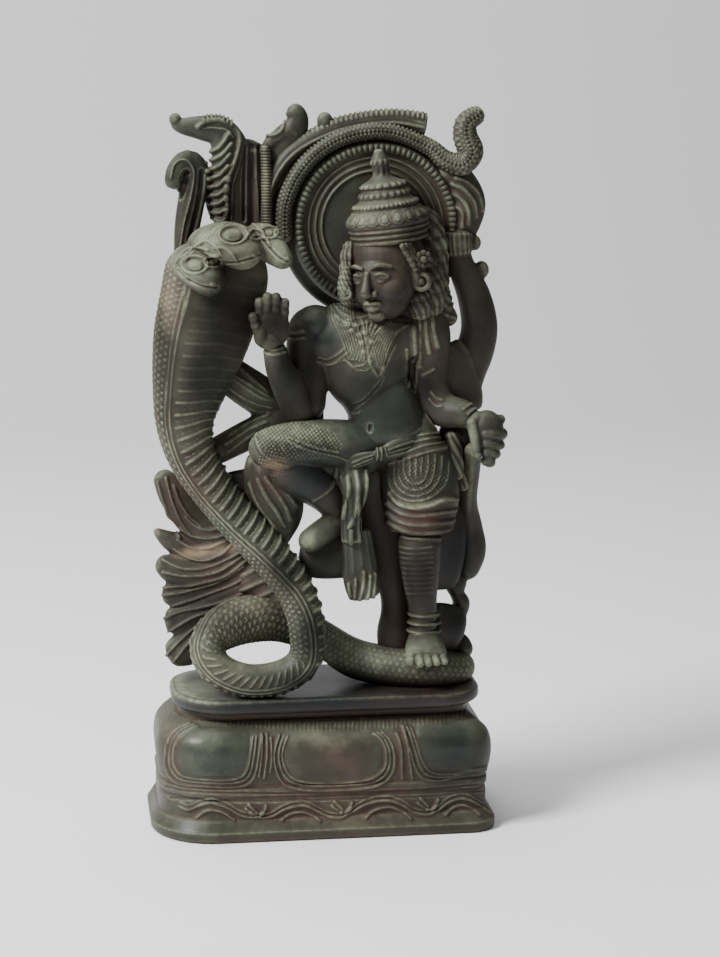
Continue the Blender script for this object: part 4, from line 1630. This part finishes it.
def patch_values(points, ovals):
    """The strongest of some soft ovals at each point. An oval is x, y, half sizes in pixels of the
    photograph, its tilt in degrees and its strength."""
    across, down, _ = seen_at(points)
    values = np.zeros(len(points))
    for x, y, half_x, half_y, tilt, strength in ovals:
        turned = math.radians(tilt)
        u = (across - x) * math.cos(turned) + (down - y) * math.sin(turned)
        v = -(across - x) * math.sin(turned) + (down - y) * math.cos(turned)
        soft = np.clip(1.4 - np.hypot(u / half_x, v / half_y), 0, 1)
        values = np.maximum(values, soft * strength)
    return values


def patch(piece):
    """Keeps every kind of patch on the piece."""
    points = points_of(piece)
    for name, ovals in PATCHES.items():
        keep_value(piece, name, patch_values(points, ovals))


# %% [markdown]
# ## The stone's finish
# One group of shader nodes works out the colours for every piece: a green-black body, pale dust on
# ledges and raised lines, red-brown earth in the cuts, and slow changes of tone over a hand's width.
# Each piece then has its own material with its own amounts, because the plinth's panels are glossier
# and the cobra is greener than the figure.

# %% The shared weathering group
POLISHED = (0.018, 0.028, 0.028, 1)
SPECK = (0.008, 0.008, 0.007, 1)
OIL = (0.003, 0.003, 0.003, 1)
BROWN_DUST = (0.16, 0.115, 0.085, 1)
SAND = (0.30, 0.23, 0.15, 1)


def new_group_socket(group, name, kind, way, value=None):
    """One named socket of a shader node group."""
    socket = group.interface.new_socket(name=name, in_out=way, socket_type=kind)
    if value is not None:
        socket.default_value = value
    return socket


def build_weathered_stone():
    """The group: from the surface's shape and place to colour, roughness and fine height."""
    group = bpy.data.node_groups.new("weathered_stone", "ShaderNodeTree")
    colour, number = "NodeSocketColor", "NodeSocketFloat"
    new_group_socket(group, "Stone", colour, "INPUT", (0.016, 0.018, 0.015, 1))
    new_group_socket(group, "Dust", colour, "INPUT", (0.19, 0.21, 0.14, 1))
    new_group_socket(group, "Earth", colour, "INPUT", (0.046, 0.023, 0.017, 1))
    new_group_socket(group, "Film", number, "INPUT", 0.05)
    new_group_socket(group, "Dust amount", number, "INPUT", 0.6)
    new_group_socket(group, "Earth amount", number, "INPUT", 0.6)
    new_group_socket(group, "Shelter", number, "INPUT", 0.0)
    new_group_socket(group, "Gloss", number, "INPUT", 0.42)
    new_group_socket(group, "Colour", colour, "OUTPUT")
    new_group_socket(group, "Roughness", number, "OUTPUT")
    new_group_socket(group, "Height", number, "OUTPUT")
    nodes, links = group.nodes, group.links
    given = nodes.new("NodeGroupInput").outputs
    result = nodes.new("NodeGroupOutput").inputs
    place = nodes.new("ShaderNodeTexCoord").outputs["Object"]

    def put(value, socket):
        """Links an output to a socket, or sets a plain value."""
        if isinstance(value, (int, float, tuple)):
            socket.default_value = value
        else:
            links.new(value, socket)

    def noise(scale, detail=4.0, roughness=0.55):
        node = nodes.new("ShaderNodeTexNoise")
        node.inputs["Scale"].default_value = scale
        node.inputs["Detail"].default_value = detail
        node.inputs["Roughness"].default_value = roughness
        links.new(place, node.inputs["Vector"])
        return node.outputs["Fac"]

    def work(operation, first, second, clamp=False):
        node = nodes.new("ShaderNodeMath")
        node.operation = operation
        node.use_clamp = clamp
        put(first, node.inputs[0])
        put(second, node.inputs[1])
        return node.outputs[0]

    def ramp(value, low, high):
        node = nodes.new("ShaderNodeMapRange")
        node.interpolation_type = "SMOOTHSTEP"
        node.inputs["From Min"].default_value = low
        node.inputs["From Max"].default_value = high
        links.new(value, node.inputs["Value"])
        return node.outputs["Result"]

    def scaled(value, low, high):
        """A value from 0 to 1 moved to a range from low to high."""
        return work("ADD", work("MULTIPLY", value, high - low), low)

    def mix(amount, first, second):
        node = nodes.new("ShaderNodeMix")
        node.data_type = "RGBA"
        put(amount, node.inputs[0])
        put(first, node.inputs[6])
        put(second, node.inputs[7])
        return node.outputs[2]

    def kept(name):
        node = nodes.new("ShaderNodeAttribute")
        node.attribute_name = name
        return node.outputs["Fac"]

    fine = kept("hollow_fine")
    broad = kept("hollow_broad")
    pale, brown, dark = kept("pale"), kept("brown"), kept("dark")
    sand, polish = kept("sand"), kept("polish")
    split = nodes.new("ShaderNodeSeparateXYZ")
    links.new(nodes.new("ShaderNodeNewGeometry").outputs["Normal"], split.inputs[0])
    upward = ramp(split.outputs["Z"], 0.0, 0.95)

    patches = ramp(noise(30, 5, 0.6), 0.36, 0.66)
    specks = ramp(noise(430, 3, 0.6), 0.40, 0.62)
    mottle = ramp(noise(110, 5, 0.65), 0.38, 0.64)
    slow = ramp(noise(13, 3, 0.5), 0.35, 0.65)

    raised = ramp(work("MULTIPLY", fine, -1.0), 0.05, 0.8)
    ledge = work("MULTIPLY", upward, scaled(patches, 0.35, 1.0))
    pale_film = work("ADD", given["Film"], work("MULTIPLY", pale, 0.34))
    film = work("MULTIPLY", scaled(mottle, 0.4, 1.3), pale_film)
    dust = work("ADD", work("MULTIPLY", raised, 0.75), work("MULTIPLY", ledge, 0.5))
    dust = work("MULTIPLY", dust, work("ADD", given["Dust amount"], work("MULTIPLY", pale, 0.5)))
    dust = work("ADD", work("MULTIPLY", dust, scaled(specks, 0.5, 1.0)), film)
    dust = work("MULTIPLY", dust, scaled(polish, 1.0, 0.45))
    dust = work("MULTIPLY", dust, scaled(dark, 1.0, 0.15))
    dust = work("MULTIPLY", dust, scaled(given["Shelter"], 1.1, 0.05), clamp=True)

    cut = work("MAXIMUM", ramp(fine, 0.08, 0.8), ramp(broad, 0.1, 0.9))
    earth = work("MAXIMUM", cut, ramp(given["Shelter"], 0.25, 0.9))
    earth = work("MULTIPLY", earth, scaled(slow, 0.5, 1.0))
    earth = work("MULTIPLY", earth, given["Earth amount"])
    earth = work("ADD", earth, work("MULTIPLY", brown, scaled(mottle, 0.25, 0.75)), clamp=True)

    tone = mix(work("MULTIPLY", slow, 0.35), given["Stone"], given["Earth"])
    tone = mix(work("MULTIPLY", polish, 0.7), tone, POLISHED)
    tone = mix(work("MULTIPLY", specks, 0.2), tone, SPECK)
    tone = mix(earth, tone, given["Earth"])
    tone = mix(work("MULTIPLY", dark, 0.85), tone, OIL)
    coat = mix(work("MULTIPLY", brown, 0.55), given["Dust"], BROWN_DUST)
    tone = mix(dust, tone, coat)
    tone = mix(work("MULTIPLY", sand, scaled(mottle, 0.5, 0.9)), tone, SAND)
    links.new(tone, result["Colour"])

    rough = work("ADD", given["Gloss"], work("MULTIPLY", dust, 0.3))
    rough = work("ADD", rough, work("MULTIPLY", earth, 0.22))
    rough = work("ADD", rough, work("MULTIPLY", patches, 0.1))
    rough = work("ADD", rough, work("MULTIPLY", polish, -0.2), clamp=True)
    links.new(rough, result["Roughness"])

    fine_grain = work("MULTIPLY", noise(900, 4, 0.6), 0.5)
    grain = work("ADD", fine_grain, work("MULTIPLY", noise(180, 4, 0.6), 0.5))
    links.new(grain, result["Height"])
    return group


WEATHERED = build_weathered_stone()
SHELTER_REACH = 0.012


def stone_finish(name, **amounts):
    """A material of the weathered stone with its own colours and amounts."""
    stuff = bpy.data.materials.new(name)
    stuff.use_nodes = True
    nodes, links = stuff.node_tree.nodes, stuff.node_tree.links
    shader = nodes["Principled BSDF"]
    shader.inputs["Specular IOR Level"].default_value = 0.2
    group = nodes.new("ShaderNodeGroup")
    group.node_tree = WEATHERED
    for socket, value in amounts.items():
        group.inputs[socket.replace("_", " ").capitalize()].default_value = value
    nearby = nodes.new("ShaderNodeAmbientOcclusion")
    nearby.inputs["Distance"].default_value = SHELTER_REACH
    nearby.samples = 8
    hidden = nodes.new("ShaderNodeMath")
    hidden.operation = "SUBTRACT"
    hidden.inputs[0].default_value = 1.0
    links.new(nearby.outputs["AO"], hidden.inputs[1])
    links.new(hidden.outputs[0], group.inputs["Shelter"])
    links.new(group.outputs["Colour"], shader.inputs["Base Color"])
    links.new(group.outputs["Roughness"], shader.inputs["Roughness"])
    bump = nodes.new("ShaderNodeBump")
    bump.inputs["Strength"].default_value = 0.35
    bump.inputs["Distance"].default_value = 0.0003
    links.new(group.outputs["Height"], bump.inputs["Height"])
    links.new(bump.outputs["Normal"], shader.inputs["Normal"])
    return stuff


GREEN_STONE = (0.023, 0.028, 0.021, 1)
BLUE_STONE = (0.014, 0.017, 0.022, 1)
plain_stone = stone_finish("carved_stone")
FINISH = {
    "plinth": stone_finish("plinth_stone", stone=GREEN_STONE, film=0.12, gloss=0.34, earth_amount=0.9),
    "top_slab": stone_finish("slab_stone", stone=BLUE_STONE, gloss=0.3, film=0.0, dust_amount=0.6),
    "cobra_body": stone_finish("cobra_stone", stone=GREEN_STONE, film=0.11, dust_amount=0.9),
    "cobra_heads": stone_finish(
        "cobra_head_stone", stone=GREEN_STONE, film=0.42, gloss=0.36, dust_amount=0.7),
    "tail_fan": stone_finish("fan_stone", film=0.1, earth_amount=0.8),
    "halo": stone_finish("halo_stone", stone=GREEN_STONE, film=0.07, gloss=0.42),
}

# %% [markdown]
# ## Hand over
# There are no joints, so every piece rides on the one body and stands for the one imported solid. The
# brushes needed a fine mesh everywhere, but a plain stretch of stone doesn't, so the edges that the
# shape needs least are collapsed last. The dust and the patches keep their values through it.

# %% Everything rides on the one body
KEPT_SHARE = 0.65


def lighten(piece):
    """Collapses the edges that the shape needs least."""
    clear_selection()
    piece.select_set(True)
    bpy.context.view_layer.objects.active = piece
    collapse = piece.modifiers.new("collapse", "DECIMATE")
    collapse.ratio = KEPT_SHARE
    bpy.ops.object.modifier_apply(modifier="collapse")


CARVING = [plinth, top_slab, snake, cobra_heads, upper_body, hands, lower_body, feet, cloth, head, hair,
           crown, halo, arch, flames, right_edge, fan, webs]
for piece in CARVING:
    weather(piece)
    patch(piece)
    lighten(piece)
    piece.data.materials.clear()
    piece.data.materials.append(FINISH.get(piece.name, plain_stone))
    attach(piece, "root")
    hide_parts("shiva_figure")
print("triangles in all", sum(len(face.vertices) - 2 for piece in CARVING for face in piece.data.polygons))
